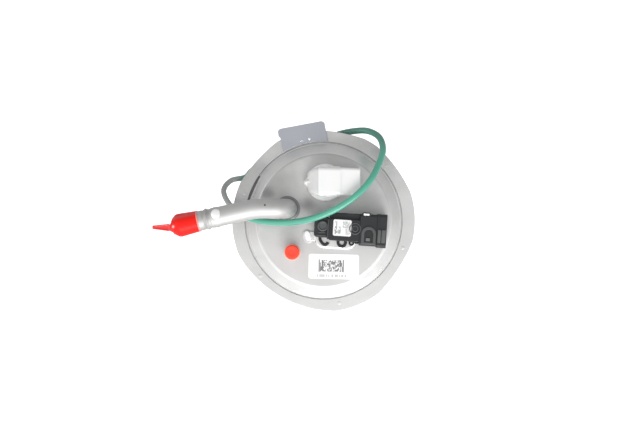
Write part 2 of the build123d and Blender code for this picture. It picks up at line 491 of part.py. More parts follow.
terms = [block(PUMP_X + 9.6, PUMP_X + 10.4, PUMP_Y + dy - 3.0, PUMP_Y + dy + 3.0, P1 + 6.0, P1 + 14.0) for dy in (-5.0, 5.0)]
save("pump_terminals", *terms)
mag = []
for k in (0, 180):
    m = ring(PUMP_R - 1.4, 13.2, P0 + 22.0, P1 - 22.0, PUMP_X, PUMP_Y)
    m = m & (Pos(PUMP_X, PUMP_Y, 0) * Rot(0, 0, k) * block(0, 30, -13.5, 13.5, 0, 120))
    mag.append(m)
save("pump_magnets", *mag)
brush = [block(PUMP_X + 4.0, PUMP_X + 8.0, PUMP_Y + s * 4.0 - 2.2, PUMP_Y + s * 4.0 + 2.2, P1 - 12.95, P1 - 1.6) for s in (-1, 1)]
save("pump_brushes", *brush)
iso = ring(22.5, PUMP_R + 0.05, 30.0, 104.0, PUMP_X, PUMP_Y)
for zc in (38.0, 52.0, 66.0, 80.0, 94.0):
    iso += ring(23.6, 22.0, zc - 1.5, zc + 1.5, PUMP_X, PUMP_Y)
iso -= cyl(PUMP_R + 0.05, 20.0, 110.0, PUMP_X, PUMP_Y)
save("pump_isolator", iso)

# Rotor: armature, shaft and commutator, with the turbine impeller
arm = cyl(1.5, P0 + 5.4, P1 - 7.0, PUMP_X, PUMP_Y)
arm += cyl(12.4, P0 + 24.0, P1 - 24.0, PUMP_X, PUMP_Y)
for k in range(8):
    arm -= Pos(PUMP_X, PUMP_Y, 0) * Rot(0, 0, 45 * k) * block(9.0, 14.0, -0.9, 0.9, P0 + 23, P1 - 23)
arm += cyl(9.6, P0 + 18.0, P0 + 24.2, PUMP_X, PUMP_Y) + cyl(9.6, P1 - 24.2, P1 - 19.0, PUMP_X, PUMP_Y)
arm += cyl(8.6, P1 - 19.1, P1 - 13.2, PUMP_X, PUMP_Y)
save("pump_armature", arm)
imp = ring(15.6, 1.55, P0 + 7.15, P0 + 9.3, PUMP_X, PUMP_Y)
for k in range(18):
    imp -= Pos(PUMP_X, PUMP_Y, 0) * Rot(0, 0, 20 * k) * block(12.8, 16.5, -0.8, 0.8, P0 + 6.5, P0 + 10)
save("pump_impeller", imp)

# Check valve in the end cap's outlet
VCX, VCY = PUMP_X + OUT_DX, PUMP_Y + OUT_DY
pop = cone(1.65, 4.0, P1 - 8.0 + 0.02, P1 - 6.0, VCX, VCY)
pop = cyl(3.9, P1 - 7.9, P1 - 6.4, VCX, VCY) + cyl(1.2, P1 - 10.5, P1 - 7.8, VCX, VCY) + cyl(1.4, P1 - 6.5, P1 - 3.4, VCX, VCY)
save("check_valve_poppet", pop)
save("check_valve_spring", coil(VCX, VCY, 2.3, 0.5, P1 - 6.35, P1 + 0.4, 5))

# Outlet tee on the pump outlet: hose barb upwards, side arm into the regulator's seat
tx0, ty0 = VCX, VCY
tee = ring(6.3, 4.05, P1 + 7.0, TEE_Z + 4.0, tx0, ty0)
tee += ring(4.6, 2.7, TEE_Z + 3.0, TEE_Z + 19.0, tx0, ty0) + ring(6.3, 2.7, TEE_Z + 2.0, TEE_Z + 4.0, tx0, ty0)
for zb in (TEE_Z + 9.0, TEE_Z + 13.0, TEE_Z + 17.0):
    tee += turned([(4.4, zb - 1.2), (5.2, zb - 1.2), (4.4, zb + 0.9)], tx0, ty0)
arm_tee = extrude(Plane(origin=(tx0, ty0, TEE_Z), z_dir=TEE.normalized()) * Circle(2.7), amount=TEE.length - 11.4)
arm_col = extrude(Plane(origin=(tx0, ty0, TEE_Z), z_dir=TEE.normalized()) * Circle(4.1), amount=TEE.length - 16.5)
tee += arm_tee + arm_col
tee -= cyl(4.05, P1 + 6.0, P1 + 17.2, tx0, ty0)
tee -= cyl(2.7, P1 + 17.0, 160.0, tx0, ty0)
tee -= extrude(Plane(origin=(tx0, ty0, TEE_Z), z_dir=TEE.normalized()) * Circle(1.7), amount=TEE.length)
save("outlet_tee", tee)

# Inlet strainer sock on the pump inlet
sock = rounded_box(PUMP_X - 20.0, PUMP_X + 24.0, PUMP_Y - 15.0, PUMP_Y + 15.0, 8.6, 13.2, 9.0)
sock = chamfer(sock.edges().group_by(Axis.Z)[-1], 1.2)
sock += ring(7.2, 5.55, 13.0, 20.0, PUMP_X + 9, PUMP_Y)
sock -= cyl(5.55, 10.5, 21.0, PUMP_X + 9, PUMP_Y)
save("inlet_strainer", sock)

# Umbrella valve in the cup's floor and the flat outer strainer under it
umb = cyl(1.9, 1.4, 7.0, UMB_X, 0) + turned([(0, 6.45), (8.2, 6.45), (8.0, 7.0), (4.0, 8.2), (0, 8.4)], UMB_X, 0)
umb += cone(2.2, 2.9, 1.6, 3.9, UMB_X, 0)
save("inlet_umbrella_valve", umb)
strain = ring(41.5, 15.0, 1.6, 2.5)
strain -= cyl(8.8, 0, 5, UMB_X, 0)
strain += ring(41.5, 39.9, 1.6, 3.95) + ring(16.6, 15.0, 1.6, 3.95)
save("base_strainer", strain)

# Jet pump: fed from the regulator's return, draws fuel into the cup
jet = cyl(6.0, 6.42, 16.0, -28.0, 22.0) + cyl(3.0, 4.2, 6.5, -28.0, 22.0)
jet += Pos(-22.0, 22.0, 11.0) * (Rot(0, 90, 0) * Cylinder(2.6, 14.0))
jet += ring(4.3, 3.3, 15.9, 84.0, -28.0, 22.0)
jet -= cyl(2.0, 12.0, 20.0, -28.0, 22.0)
jet -= cyl(2.0, 3.0, 9.0, -28.0, 22.0)
jet -= Pos(-21.0, 22.0, 11.0) * (Rot(0, 90, 0) * Cylinder(1.3, 18.0))
save("jet_pump", jet)

# Pressure regulator on the lid: steel can with a return nipple, cover, diaphragm valve and spring
RZ = 118.0
reg = turned([(0, RZ), (11.0, RZ), (11.0, RZ + 19.0), (12.6, RZ + 19.0), (12.6, RZ + 21.0), (9.9, RZ + 21.0), (9.9, RZ + 1.2), (0, RZ + 1.2)], REG_X, REG_Y)
reg += ring(2.35, 1.6, RZ - 12.0, RZ + 0.5, REG_X, REG_Y)
reg -= cyl(1.6, RZ - 13.0, RZ + 3.0, REG_X, REG_Y)
for k in range(4):
    px, py = polar(6.5, 45 + 90 * k)
    reg -= cyl(1.2, RZ - 2.0, RZ + 3.0, REG_X + px, REG_Y + py)
save("regulator_can", reg)
regc = turned([(0, RZ + 35.0), (7.5, RZ + 35.0), (9.4, RZ + 33.0), (9.4, RZ + 23.0), (12.6, RZ + 23.0), (12.6, RZ + 21.02), (8.3, RZ + 21.02), (8.3, RZ + 32.4), (7.0, RZ + 34.0), (0, RZ + 34.0)], REG_X, REG_Y)
save("regulator_cover", regc)
regd = cyl(7.6, RZ + 21.2, RZ + 22.6, REG_X, REG_Y) + cyl(2.4, RZ + 1.4, RZ + 21.3, REG_X, REG_Y)
save("regulator_valve", regd)
save("regulator_spring", coil(REG_X, REG_Y, 5.6, 1.0, RZ + 22.65, RZ + 33.9, 4))

# Return tube from the regulator to the jet pump, round the pump under the lid
ret_pts = [(REG_X, REG_Y, RZ - 0.3 - 2.0), (REG_X, REG_Y, 99.0), (31.5, -10.5, 94.0), (29.5, 15.0, 94.0), (12.0, 32.5, 94.0),
           (-8.0, 29.5, 94.0), (-28.0, 22.0, 93.0), (-28.0, 22.0, 79.0)]
ret_r, _ = arc_radii(ret_pts)
ret_o, ret_len = tube_along(ret_pts, 3.2, radii=ret_r)
ret_i, _ = tube_along(ret_pts, 2.4, radii=ret_r)
save("return_tube", ret_o - ret_i)

# Level sender on the -Y pad: housing, resistor card, contact terminals
sx, sy, sz = PIVOT
send = rounded_box(-17.0, 17.0, -58.4, -54.65, 70.0, 116.0, 3.0, Axis.Y)
send -= block(-15.4, 15.4, -59.5, -56.6, 80.0, 96.6)
send += Pos(sx, -57.0, sz) * (Rot(90, 0, 0) * Cylinder(7.5, 4.6))
send -= block(-30, 30, -54.64, -40, 50, 130)
send -= Pos(sx, -58.0, sz) * (Rot(90, 0, 0) * Cylinder(2.35, 6.0))
REST_STOP = ARM_REST + 180.0 - 33.2
FULL_STOP = ARM_REST + 90.0 + 27.9
for a, rr in ((REST_STOP, 9.2), (FULL_STOP, 11.0)):
    qx, qz = polar(rr, a)
    send += Pos(sx + qx, -61.2, sz + qz) * (Rot(90, 0, 0) * Cylinder(1.6, 6.0))
send += block(-8.0, 8.0, -56.6, -54.65, 115.0, 117.0)
save("sender_housing", send)
card = block(-15.2, 15.2, -58.0, -56.65, 80.2, 96.4)
save("resistor_card", card)

# Float arm: plastic hub on the pivot carrying the wiper, bent steel wire, and the float on its cranked end
ca, sa = math.cos(math.radians(ARM_REST)), math.sin(math.radians(ARM_REST))
fx, fz = sx + ARM_L * ca, sz + ARM_L * sa


def swung(angle):
    """Placement whose local +X points at angle in the XZ plane, about the pivot."""
    return Pos(sx, 0, sz) * Rot(0, -angle, 0)


armdir = swung(ARM_REST)
hub = Pos(sx, -62.1, sz) * (Rot(90, 0, 0) * Cylinder(7.2, 4.8))
hub += Pos(sx, -58.6, sz) * (Rot(90, 0, 0) * Cylinder(2.28, 4.0))
hub += armdir * block(-9.5, 12.0, -64.5, -60.2, -3.4, 3.4)
WY = -62.6
hub -= armdir * Pos(4, WY, 0) * (Rot(0, 90, 0) * Cylinder(1.3, 40.0))
save("float_arm_hub", hub)
wip = swung(-135.0) * (block(7.3, 19.6, -61.0, -60.3, -2.2, 2.2) + block(15.0, 16.4, -60.4, -58.3, -1.5, 1.5) + block(18.0, 19.4, -60.4, -58.3, -1.5, 1.5))
save("wiper_contact", wip)
WI = -56.1
wire_pts = [(-8.0, WY, 0.0), (50.0, WY, 0.0), (62.0, WI, 0.0), (ARM_L, WI, 0.0), (ARM_L, WI - 19.2, 0.0)]
wsolid, _ = tube_along(wire_pts, 1.25, radii=[10.0, 10.0, 3.2])
wsolid += Pos(ARM_L, WI - 18.9, 0.0) * (Rot(90, 0, 0) * Cylinder(2.1, 0.9))
wsolid = armdir * wsolid
save("float_arm", wsolid)
fy0, fy1 = WI - 18.2, WI - 3.7
fl = rounded_box(fx - 21.0, fx + 21.0, fy0, fy1, fz - 12.0, fz + 6.5, 4.0, Axis.Y)
fl = fillet(fl.edges().group_by(Axis.Y)[0], 1.6)
fl -= Pos(fx, -62, fz) * (Rot(90, 0, 0) * Cylinder(1.33, 40.0))
save("float", fl)
print("float", round(fx, 1), round(fz, 1))

# Convoluted hose from the pump outlet up to the feed tube (changes shape as the reservoir rises)
hose_pts = [(VCX, VCY, TEE_Z + 4.2), (VCX, VCY, 154.0), (-11.5, -11.0, 165.0), (-21.5, -21.5, 181.0),
            (FEED_X, FEED_Y, 192.0), (FEED_X, FEED_Y, 205.5)]
hose_r, hose_t = arc_radii(hose_pts)
print("hose turns", [round(t) for t in hose_t])
hose, hl = tube_along(hose_pts, 7.2, radii=hose_r)
hin, _ = tube_along(hose_pts, 5.45, radii=hose_r)
hose = hose - hin
save("feed_hose", hose)
print("hose length", round(hl, 1))

# Internal wiring: plug under the bulkhead connector, leads down to the lid
plug = block(cx - 7.3, cx + 7.3, cy - 4.8, cy + 4.8, 198.0, 204.0)
plug += block(cx - 6.0, cx + 6.0, cy - 3.6, cy + 3.6, 204.0, 210.5)
for px in LOW_PINS:
    plug -= block(cx + px - 0.8, cx + px + 0.8, cy - 0.5, cy + 0.5, 203.0, 212.0)
save("harness_plug", plug)
lidconn = rounded_box(2.0, 20.0, 24.0, 34.0, LID_TOP, LID_TOP + 9.0, 1.5)
save("lid_connector", lidconn)
leads = []
for k, (px, tx_) in enumerate(((-4.5, 5.0), (-1.5, 9.0), (1.5, 13.0), (4.5, 17.0))):
    pts = [(cx + px, cy, 197.9), (cx + px, cy, 188.0), (cx + px * 0.9 + 5.0 + k, cy + 3.0 - k * 1.6, 172.0),
           (tx_ + 1.0, 30.0 - k * 0.8, 152.0), (tx_, 29.0, 143.0), (tx_, 29.0, LID_TOP + 9.05)]
    l, _ = tube_along(pts, 0.95)
    leads.append(l)
save("wiring_leads", *leads)
# Sender leads over the lid to its connector, and the pump's two leads, fixed to the reservoir
sl = []
for k, xx in enumerate((-5.0, -2.6)):
    e = 2.4 * k
    pts = [(xx, -55.9, 117.6), (xx, -57.6, 122.0), (xx - 0.5, -57.2, 129.5), (xx - 1.0, -47.0, 130.5), (-7.0 + e, -34.0, 127.2),
           (-25.5 + e, -17.0 + 0.6 * e, 127.2), (-30.0 + e, 6.0, 127.2), (-17.0 + 0.4 * e, 25.5 - e, 127.2), (-6.0, 28.8 - 0.8 * e, 129.0), (1.95, 28.8 - 0.8 * e, 129.0)]
    l, _ = tube_along(pts, 0.85)
    sl.append(l)
pl = []
for k, yy in enumerate((-8.0, 2.0)):
    pts = [(PUMP_X + 10.0, yy, P1 + 14.05), (PUMP_X + 10.0, yy, 133.0), (PUMP_X + 11.0 + 2 * k, 10.0 + 2 * k, 135.0), (8.0 + 4.0 * k, 21.0, 131.0), (8.0 + 4.0 * k, 23.95, 131.0)]
    l, _ = tube_along(pts, 1.0)
    pl.append(l)
save("reservoir_leads", *(sl + pl))
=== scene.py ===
import math
import random

import bmesh
import bpy
from mathutils import Matrix, Vector


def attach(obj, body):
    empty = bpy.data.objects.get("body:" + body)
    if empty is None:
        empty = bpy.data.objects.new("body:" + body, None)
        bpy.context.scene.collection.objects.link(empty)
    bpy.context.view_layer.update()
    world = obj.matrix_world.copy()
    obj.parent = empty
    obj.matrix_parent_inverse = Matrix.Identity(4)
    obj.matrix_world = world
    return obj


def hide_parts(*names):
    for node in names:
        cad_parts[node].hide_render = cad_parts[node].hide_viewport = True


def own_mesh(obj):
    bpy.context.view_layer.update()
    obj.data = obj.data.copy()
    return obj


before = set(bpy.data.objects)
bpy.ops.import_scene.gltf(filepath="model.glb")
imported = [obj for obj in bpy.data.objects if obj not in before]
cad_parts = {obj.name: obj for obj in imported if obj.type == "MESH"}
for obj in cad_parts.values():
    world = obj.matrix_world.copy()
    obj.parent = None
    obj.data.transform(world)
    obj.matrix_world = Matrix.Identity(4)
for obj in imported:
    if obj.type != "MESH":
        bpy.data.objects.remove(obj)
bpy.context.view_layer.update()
MM = 0.001

# ------------------------------------------------------------------ dimensions, mm, row frame
SEAT_Z, TOP_Z = 208.0, 209.6
PLAT_Z, UNDER_Z = 218.6, 217.0
PIPE_R = 7.94
PIPE_X, PIPE_Y = -29.6, 9.7
FEED_R, FEED_X, FEED_Y = 4.76, -25.4, -25.5
CX, CY = 0.7, 31.6
SB = PLAT_Z + 2.5
PUMP_X, PUMP_Y = -3.0, -3.0
ROD_ANGLES = (5.0, 125.0, 245.0)
CUP_R = 53.0
V3 = Vector


# ------------------------------------------------------------------ materials
def bsdf_mat(name):
    m = bpy.data.materials.new(name)
    m.use_nodes = True
    nt = m.node_tree
    b = nt.nodes["Principled BSDF"]
    return m, nt, b


def coords(nt, scale=(1, 1, 1), rot=(0, 0, 0)):
    tc = nt.nodes.new("ShaderNodeTexCoord")
    mp = nt.nodes.new("ShaderNodeMapping")
    mp.inputs["Scale"].default_value = scale
    mp.inputs["Rotation"].default_value = rot
    nt.links.new(tc.outputs["Object"], mp.inputs["Vector"])
    return mp.outputs["Vector"]


def noise(nt, vec, scale, detail=3.0, rough=0.55):
    n = nt.nodes.new("ShaderNodeTexNoise")
    n.inputs["Scale"].default_value = scale
    n.inputs["Detail"].default_value = detail
    n.inputs["Roughness"].default_value = rough
    nt.links.new(vec, n.inputs["Vector"])
    return n.outputs["Fac"]


def ramp(nt, fac, stops):
    r = nt.nodes.new("ShaderNodeValToRGB")
    e = r.color_ramp.elements
    while len(e) < len(stops):
        e.new(0.5)
    for el, (p, c) in zip(e, stops):
        el.position = p
        el.color = (*c, 1.0) if len(c) == 3 else c
    nt.links.new(fac, r.inputs["Fac"])
    return r.outputs["Color"]


def rng(nt, fac, a, b, lo=0.3, hi=0.7):
    r = nt.nodes.new("ShaderNodeMapRange")
    r.inputs["From Min"].default_value = lo
    r.inputs["From Max"].default_value = hi
    r.inputs["To Min"].default_value = a
    r.inputs["To Max"].default_value = b
    nt.links.new(fac, r.inputs["Value"])
    return r.outputs["Result"]


def bump(nt, b, fac, strength, dist):
    n = nt.nodes.new("ShaderNodeBump")
    n.inputs["Strength"].default_value = strength
    n.inputs["Distance"].default_value = dist
    nt.links.new(fac, n.inputs["Height"])
    nt.links.new(n.outputs["Normal"], b.inputs["Normal"])


def shade(c, k):
    return tuple(max(0.0, min(1.0, v * k)) for v in c)


def metal(name, col, rough=0.32, var=0.08, scale=260.0, grain=(1, 1, 1), bumps=0.12, metallic=1.0, spread=0.10):
    m, nt, b = bsdf_mat(name)
    v = coords(nt, grain)
    n1 = noise(nt, v, scale, 4.0, 0.6)
    n2 = noise(nt, v, scale * 0.13, 3.0, 0.5)
    mix = nt.nodes.new("ShaderNodeMath")
    mix.operation = "MULTIPLY_ADD"
    mix.inputs[1].default_value = 0.4
    nt.links.new(n1, mix.inputs[0])
    sc = nt.nodes.new("ShaderNodeMath")
    sc.operation = "MULTIPLY"
    sc.inputs[1].default_value = 0.6
    nt.links.new(n2, sc.inputs[0])
    nt.links.new(sc.outputs[0], mix.inputs[2])
    f = mix.outputs[0]
    nt.links.new(ramp(nt, f, [(0.3, shade(col, 1 - var)), (0.7, shade(col, 1 + var))]), b.inputs["Base Color"])
    nt.links.new(rng(nt, n1, rough - spread / 2, rough + spread / 2), b.inputs["Roughness"])
    b.inputs["Metallic"].default_value = metallic
    bump(nt, b, n1, bumps, 0.0001)
    return m


def plastic(name, col, rough=0.4, var=0.06, scale=300.0, bumps=0.15, coat=0.0, sub=0.0, spec=0.5):
    m, nt, b = bsdf_mat(name)
    v = coords(nt)
    n1 = noise(nt, v, scale, 4.0, 0.6)
    n2 = noise(nt, v, scale * 0.08, 2.0, 0.5)
    nt.links.new(ramp(nt, n2, [(0.3, shade(col, 1 - var)), (0.7, shade(col, 1 + var))]), b.inputs["Base Color"])
    nt.links.new(rng(nt, n1, rough - 0.06, rough + 0.06), b.inputs["Roughness"])
    b.inputs["Specular IOR Level"].default_value = spec
    if coat:
        b.inputs["Coat Weight"].default_value = coat
        b.inputs["Coat Roughness"].default_value = 0.15
    if sub:
        b.inputs["Subsurface Weight"].default_value = sub
        b.inputs["Subsurface Radius"].default_value = (0.004, 0.003, 0.003)
        b.inputs["Subsurface Scale"].default_value = 0.5
    bump(nt, b, n1, bumps, 0.0001)
    return m


def link_mix(nt, fac, a, b):
    mx = nt.nodes.new("ShaderNodeMix")
    mx.data_type = "RGBA"
    nt.links.new(fac, mx.inputs["Factor"])
    for k, c in (("A", a), ("B", b)):
        sock = [i for i in mx.inputs if i.name == k and i.type == "RGBA"][0]
        if isinstance(c, tuple):
            sock.default_value = (*c, 1.0)
        else:
            nt.links.new(c, sock)
    return [o for o in mx.outputs if o.type == "RGBA"][0]


def math2(nt, op, a, b):
    n = nt.nodes.new("ShaderNodeMath")
    n.operation = op
    for i, v in enumerate((a, b)):
        if isinstance(v, (int, float)):
            n.inputs[i].default_value = v
        else:
            nt.links.new(v, n.inputs[i])
    return n.outputs[0]


def xyz(nt, vec):
    n = nt.nodes.new("ShaderNodeSeparateXYZ")
    nt.links.new(vec, n.inputs[0])
    return n.outputs


def plated(name, col, rough, clouds=0.12, spot=None, metallic=1.0, painted_shade_tilt=0.0, painted_shade_patches=()):
    """Dull plated steel: fine grain, soft cloudy mottling, faint rub marks; optional painted shade as a tone gradient
    darker towards +Y and -X, and as darker soft spots at listed places.
    """
    m, nt, b = bsdf_mat(name)
    v = coords(nt)
    fine = noise(nt, v, 700.0, 3.0, 0.6)
    mid = noise(nt, v, 95.0, 4.0, 0.6)
    cloud = noise(nt, v, 26.0, 3.0, 0.55)
    rub = noise(nt, coords(nt, (60, 900, 60), (0, 0, 0.5)), 1.0, 2.0, 0.5)
    f = math2(nt, "ADD", math2(nt, "MULTIPLY", cloud, 0.62), math2(nt, "ADD", math2(nt, "MULTIPLY", mid, 0.26), math2(nt, "MULTIPLY", fine, 0.12)))
    # painted shade: the tone falls towards +Y and -X and rises towards -Y and +X
    if painted_shade_tilt:
        o = xyz(nt, v)
        g = math2(nt, "ADD", math2(nt, "MULTIPLY", o["X"], 1.0 * painted_shade_tilt), math2(nt, "MULTIPLY", o["Y"], -1.6 * painted_shade_tilt))
        f = math2(nt, "ADD", f, g)
    # painted shade: each entry (x, y, rx, ry, amount) darkens a soft ellipse
    for px, py, rx, ry, amount in painted_shade_patches:
        o = xyz(nt, v)
        dx = math2(nt, "DIVIDE", math2(nt, "SUBTRACT", o["X"], px), rx)
        dy = math2(nt, "DIVIDE", math2(nt, "SUBTRACT", o["Y"], py), ry)
        d2 = math2(nt, "ADD", math2(nt, "MULTIPLY", dx, dx), math2(nt, "MULTIPLY", dy, dy))
        g = math2(nt, "POWER", 2.718, math2(nt, "MULTIPLY", d2, -1.0))
        f = math2(nt, "SUBTRACT", f, math2(nt, "MULTIPLY", g, amount))
    c = ramp(nt, f, [(0.0, shade(col, 0.50)), (0.24, shade(col, 1 - clouds * 1.5)), (0.36, shade(col, 1 - clouds * 0.7)), (0.50, col), (0.70, shade(col, 1 + clouds * 0.5))])
    if spot:
        (px, py, pz), r = spot
        d = nt.nodes.new("ShaderNodeVectorMath")
        d.operation = "DISTANCE"
        nt.links.new(v, d.inputs[0])
        d.inputs[1].default_value = (px, py, pz)
        k = nt.nodes.new("ShaderNodeMapRange")
        k.inputs["From Min"].default_value = r * 0.6
        k.inputs["From Max"].default_value = r
        k.inputs["To Min"].default_value = 1.0
        k.inputs["To Max"].default_value = 0.0
        nt.links.new(d.outputs["Value"], k.inputs["Value"])
        c = link_mix(nt, k.outputs["Result"], c, (0.05, 0.05, 0.05))
    nt.links.new(c, b.inputs["Base Color"])
    nt.links.new(rng(nt, math2(nt, "ADD", math2(nt, "MULTIPLY", mid, 0.6), math2(nt, "MULTIPLY", rub, 0.4)), rough - 0.05, rough + 0.06), b.inputs["Roughness"])
    b.inputs["Metallic"].default_value = metallic
    bump(nt, b, math2(nt, "ADD", fine, math2(nt, "MULTIPLY", mid, 1.5)), 0.10, 0.0001)
    return m


def printed(name, col, cx, cy, rot, windows):
    """White label with plain machine patterns of cells and bars (nothing readable).
    windows: (x0, x1, y0, y1, cell_x, cell_y, share filled, strength), metres about (cx, cy)."""
    m, nt, b = bsdf_mat(name)
    tc = nt.nodes.new("ShaderNodeTexCoord")
    mp = nt.nodes.new("ShaderNodeMapping")
    mp.vector_type = "TEXTURE"
    mp.inputs["Location"].default_value = (cx, cy, 0)
    mp.inputs["Rotation"].default_value = (0, 0, rot)
    nt.links.new(tc.outputs["Object"], mp.inputs["Vector"])
    v = mp.outputs["Vector"]
    o = xyz(nt, v)

    def inside(val, a, c):
        return math2(nt, "MULTIPLY", math2(nt, "GREATER_THAN", val, a), math2(nt, "LESS_THAN", val, c))

    fac = None
    for x0, x1, y0, y1, sx_, sy_, share, strength in windows:
        win = math2(nt, "MULTIPLY", inside(o["X"], x0, x1), inside(o["Y"], y0, y1))
        sn = nt.nodes.new("ShaderNodeVectorMath")
        sn.operation = "SNAP"
        nt.links.new(v, sn.inputs[0])
        sn.inputs[1].default_value = (sx_, sy_, 10.0)
        wn = nt.nodes.new("ShaderNodeTexWhiteNoise")
        wn.noise_dimensions = "3D"
        nt.links.new(sn.outputs["Vector"], wn.inputs["Vector"])
        k = math2(nt, "MULTIPLY", math2(nt, "MULTIPLY", win, math2(nt, "LESS_THAN", wn.outputs["Value"], share)), strength)
        fac = k if fac is None else math2(nt, "MAXIMUM", fac, k)
    n1 = noise(nt, v, 500.0, 3.0, 0.5)
    n2 = noise(nt, v, 60.0, 2.0, 0.5)
    base = ramp(nt, n2, [(0.3, shade(col, 0.985)), (0.7, shade(col, 1.01))])
    nt.links.new(link_mix(nt, fac, base, (0.07, 0.07, 0.075)), b.inputs["Base Color"])
    nt.links.new(rng(nt, n1, 0.42, 0.52), b.inputs["Roughness"])
    bump(nt, b, n1, 0.05, 0.00005)
    return m


def seal_mat(name):
    """Moulded green rubber with painted light: lighter green towards -Y, darker green towards +Y, and painted shade
    that turns it duller and greyer on the loop hanging at the far left.
    """
    m, nt, b = bsdf_mat(name)
    v = coords(nt)
    n1 = noise(nt, v, 300.0, 4.0, 0.6)
    n2 = noise(nt, v, 40.0, 3.0, 0.5)
    # painted light: the lighter green for the lit side towards -Y, the darker green for the shaded side towards +Y
    low = ramp(nt, n2, [(0.3, (0.062, 0.350, 0.242)), (0.7, (0.078, 0.400, 0.282))])
    high = ramp(nt, n2, [(0.3, (0.050, 0.210, 0.158)), (0.7, (0.062, 0.245, 0.186))])
    # painted shade: grey for the loop that hangs at the far left
    grey = ramp(nt, n2, [(0.3, (0.275, 0.295, 0.285)), (0.7, (0.310, 0.330, 0.320))])
    oy = xyz(nt, v)
    ky = nt.nodes.new("ShaderNodeMapRange")
    ky.interpolation_type = "SMOOTHSTEP"
    ky.inputs["From Min"].default_value = 0.052
    ky.inputs["From Max"].default_value = 0.072
    nt.links.new(oy["Y"], ky.inputs["Value"])
    green = link_mix(nt, ky.outputs["Result"], low, high)
    o = xyz(nt, v)
    k = nt.nodes.new("ShaderNodeMapRange")
    k.interpolation_type = "SMOOTHSTEP"
    k.inputs["From Min"].default_value = -0.060
    k.inputs["From Max"].default_value = -0.074
    nt.links.new(o["X"], k.inputs["Value"])
    nt.links.new(link_mix(nt, k.outputs["Result"], green, grey), b.inputs["Base Color"])
    nt.links.new(rng(nt, n1, 0.34, 0.46), b.inputs["Roughness"])
    b.inputs["Specular IOR Level"].default_value = 0.6
    b.inputs["Coat Weight"].default_value = 0.6
    b.inputs["Coat Roughness"].default_value = 0.20
    b.inputs["Sheen Weight"].default_value = 0.10
    b.inputs["Sheen Roughness"].default_value = 0.4
    b.inputs["Sheen Tint"].default_value = (0.6, 1.0, 0.85, 1.0)
    bump(nt, b, n1, 0.18, 0.0001)
    return m


M = {}
# painted shade: the cover darkens towards the upper left, with darker spots beside the vent pipe, the connector and
# over the upper half
M["cover"] = plated("cover_plated", (0.64, 0.64, 0.635), 0.55, 0.14, painted_shade_tilt=0.9,
                    painted_shade_patches=((0.0360, 0.0620, 0.0200, 0.0110, 0.12), (0.0620, 0.0360, 0.0110, 0.0160, 0.09), (-0.0120, 0.0128, 0.0100, 0.0078, 0.52), (-0.0470, 0.0225, 0.0085, 0.0066, 0.44), (-0.0350, 0.0400, 0.0200, 0.0120, 0.13),
                             (0.0040, 0.0520, 0.0240, 0.0050, 0.12), (0.0360, 0.0120, 0.0120, 0.0100, 0.10), (0.0500, 0.0500, 0.0150, 0.0150, 0.22)))
# painted highlight: a brighter copy of the cover steel for the sloped skirt
M["skirt"] = plated("cover_skirt_painted_highlight", (0.80, 0.80, 0.795), 0.48, 0.10)
# painted shade: a dark copy of the cover steel for the groove's crevice
M["groove"] = plated("groove_painted_shade", (0.17, 0.17, 0.175), 0.6, 0.15, metallic=0.6)
M["tab"] = plated("tab_plated", (0.45, 0.465, 0.507), 0.56, 0.08)
# painted shade: a dark copy of the plated steel for the vent pipe's foot
M["pipe_foot"] = plated("pipe_foot_painted_shade", (0.26, 0.26, 0.265), 0.55, 0.16, metallic=0.8)
M["tube"] = metal("tube_bright", (0.78, 0.78, 0.77), 0.28, 0.04, 300.0, bumps=0.08)
M["bracket"] = metal("bracket_bright", (0.92, 0.92, 0.91), 0.30, 0.03, 240.0, bumps=0.08)
M["bracket_dull"] = metal("bracket_dull", (0.72, 0.72, 0.72), 0.50, 0.03, 240.0, bumps=0.08, metallic=0.6)
# painted highlight: near-white steel for the round bump on the vent pipe and the bracket's oval pad
M["painted_highlight_pad"] = metal("painted_highlight_pad", (0.97, 0.97, 0.97), 0.45, 0.02, 240.0, bumps=0.08, metallic=0.35)
M["spring"] = metal("spring_wire", (0.42, 0.42, 0.43), 0.30, 0.08, 500.0)
M["rod"] = metal("rod_plated", (0.74, 0.74, 0.74), 0.22, 0.04, 380.0)
M["shell"] = metal("shell_zinc", (0.62, 0.63, 0.65), 0.34, 0.10, 160.0)
M["terminal"] = metal("terminal_tin", (0.75, 0.73, 0.66), 0.28, 0.06, 500.0)
M["brass"] = metal("brass_part", (0.75, 0.56, 0.24), 0.28, 0.06, 400.0)
M["copper"] = metal("copper_part", (0.72, 0.38, 0.20), 0.30, 0.08, 400.0)
M["magnet"] = metal("magnet", (0.12, 0.12, 0.13), 0.55, 0.15, 200.0)
M["red"] = plastic("cap_red", (0.84, 0.014, 0.009), 0.42, 0.05, 350.0, 0.08, coat=0.05, sub=0.04, spec=0.16)
M["red_tail"] = plastic("cap_red_thin", (0.74, 0.034, 0.030), 0.36, 0.06, 350.0, 0.08, coat=0.3, sub=0.1, spec=0.5)
M["red_small"] = plastic("cap_red_small", (0.93, 0.070, 0.040), 0.50, 0.05, 350.0, 0.12, sub=0.1, spec=0.3)
M["red_pale"] = plastic("cap_red_skirt", (0.95, 0.42, 0.33), 0.40, 0.05, 350.0, 0.10, sub=0.3)
M["red_lip"] = plastic("cap_red_lip", (0.93, 0.30, 0.27), 0.35, 0.05, 350.0, 0.10, coat=0.1, sub=0.3)
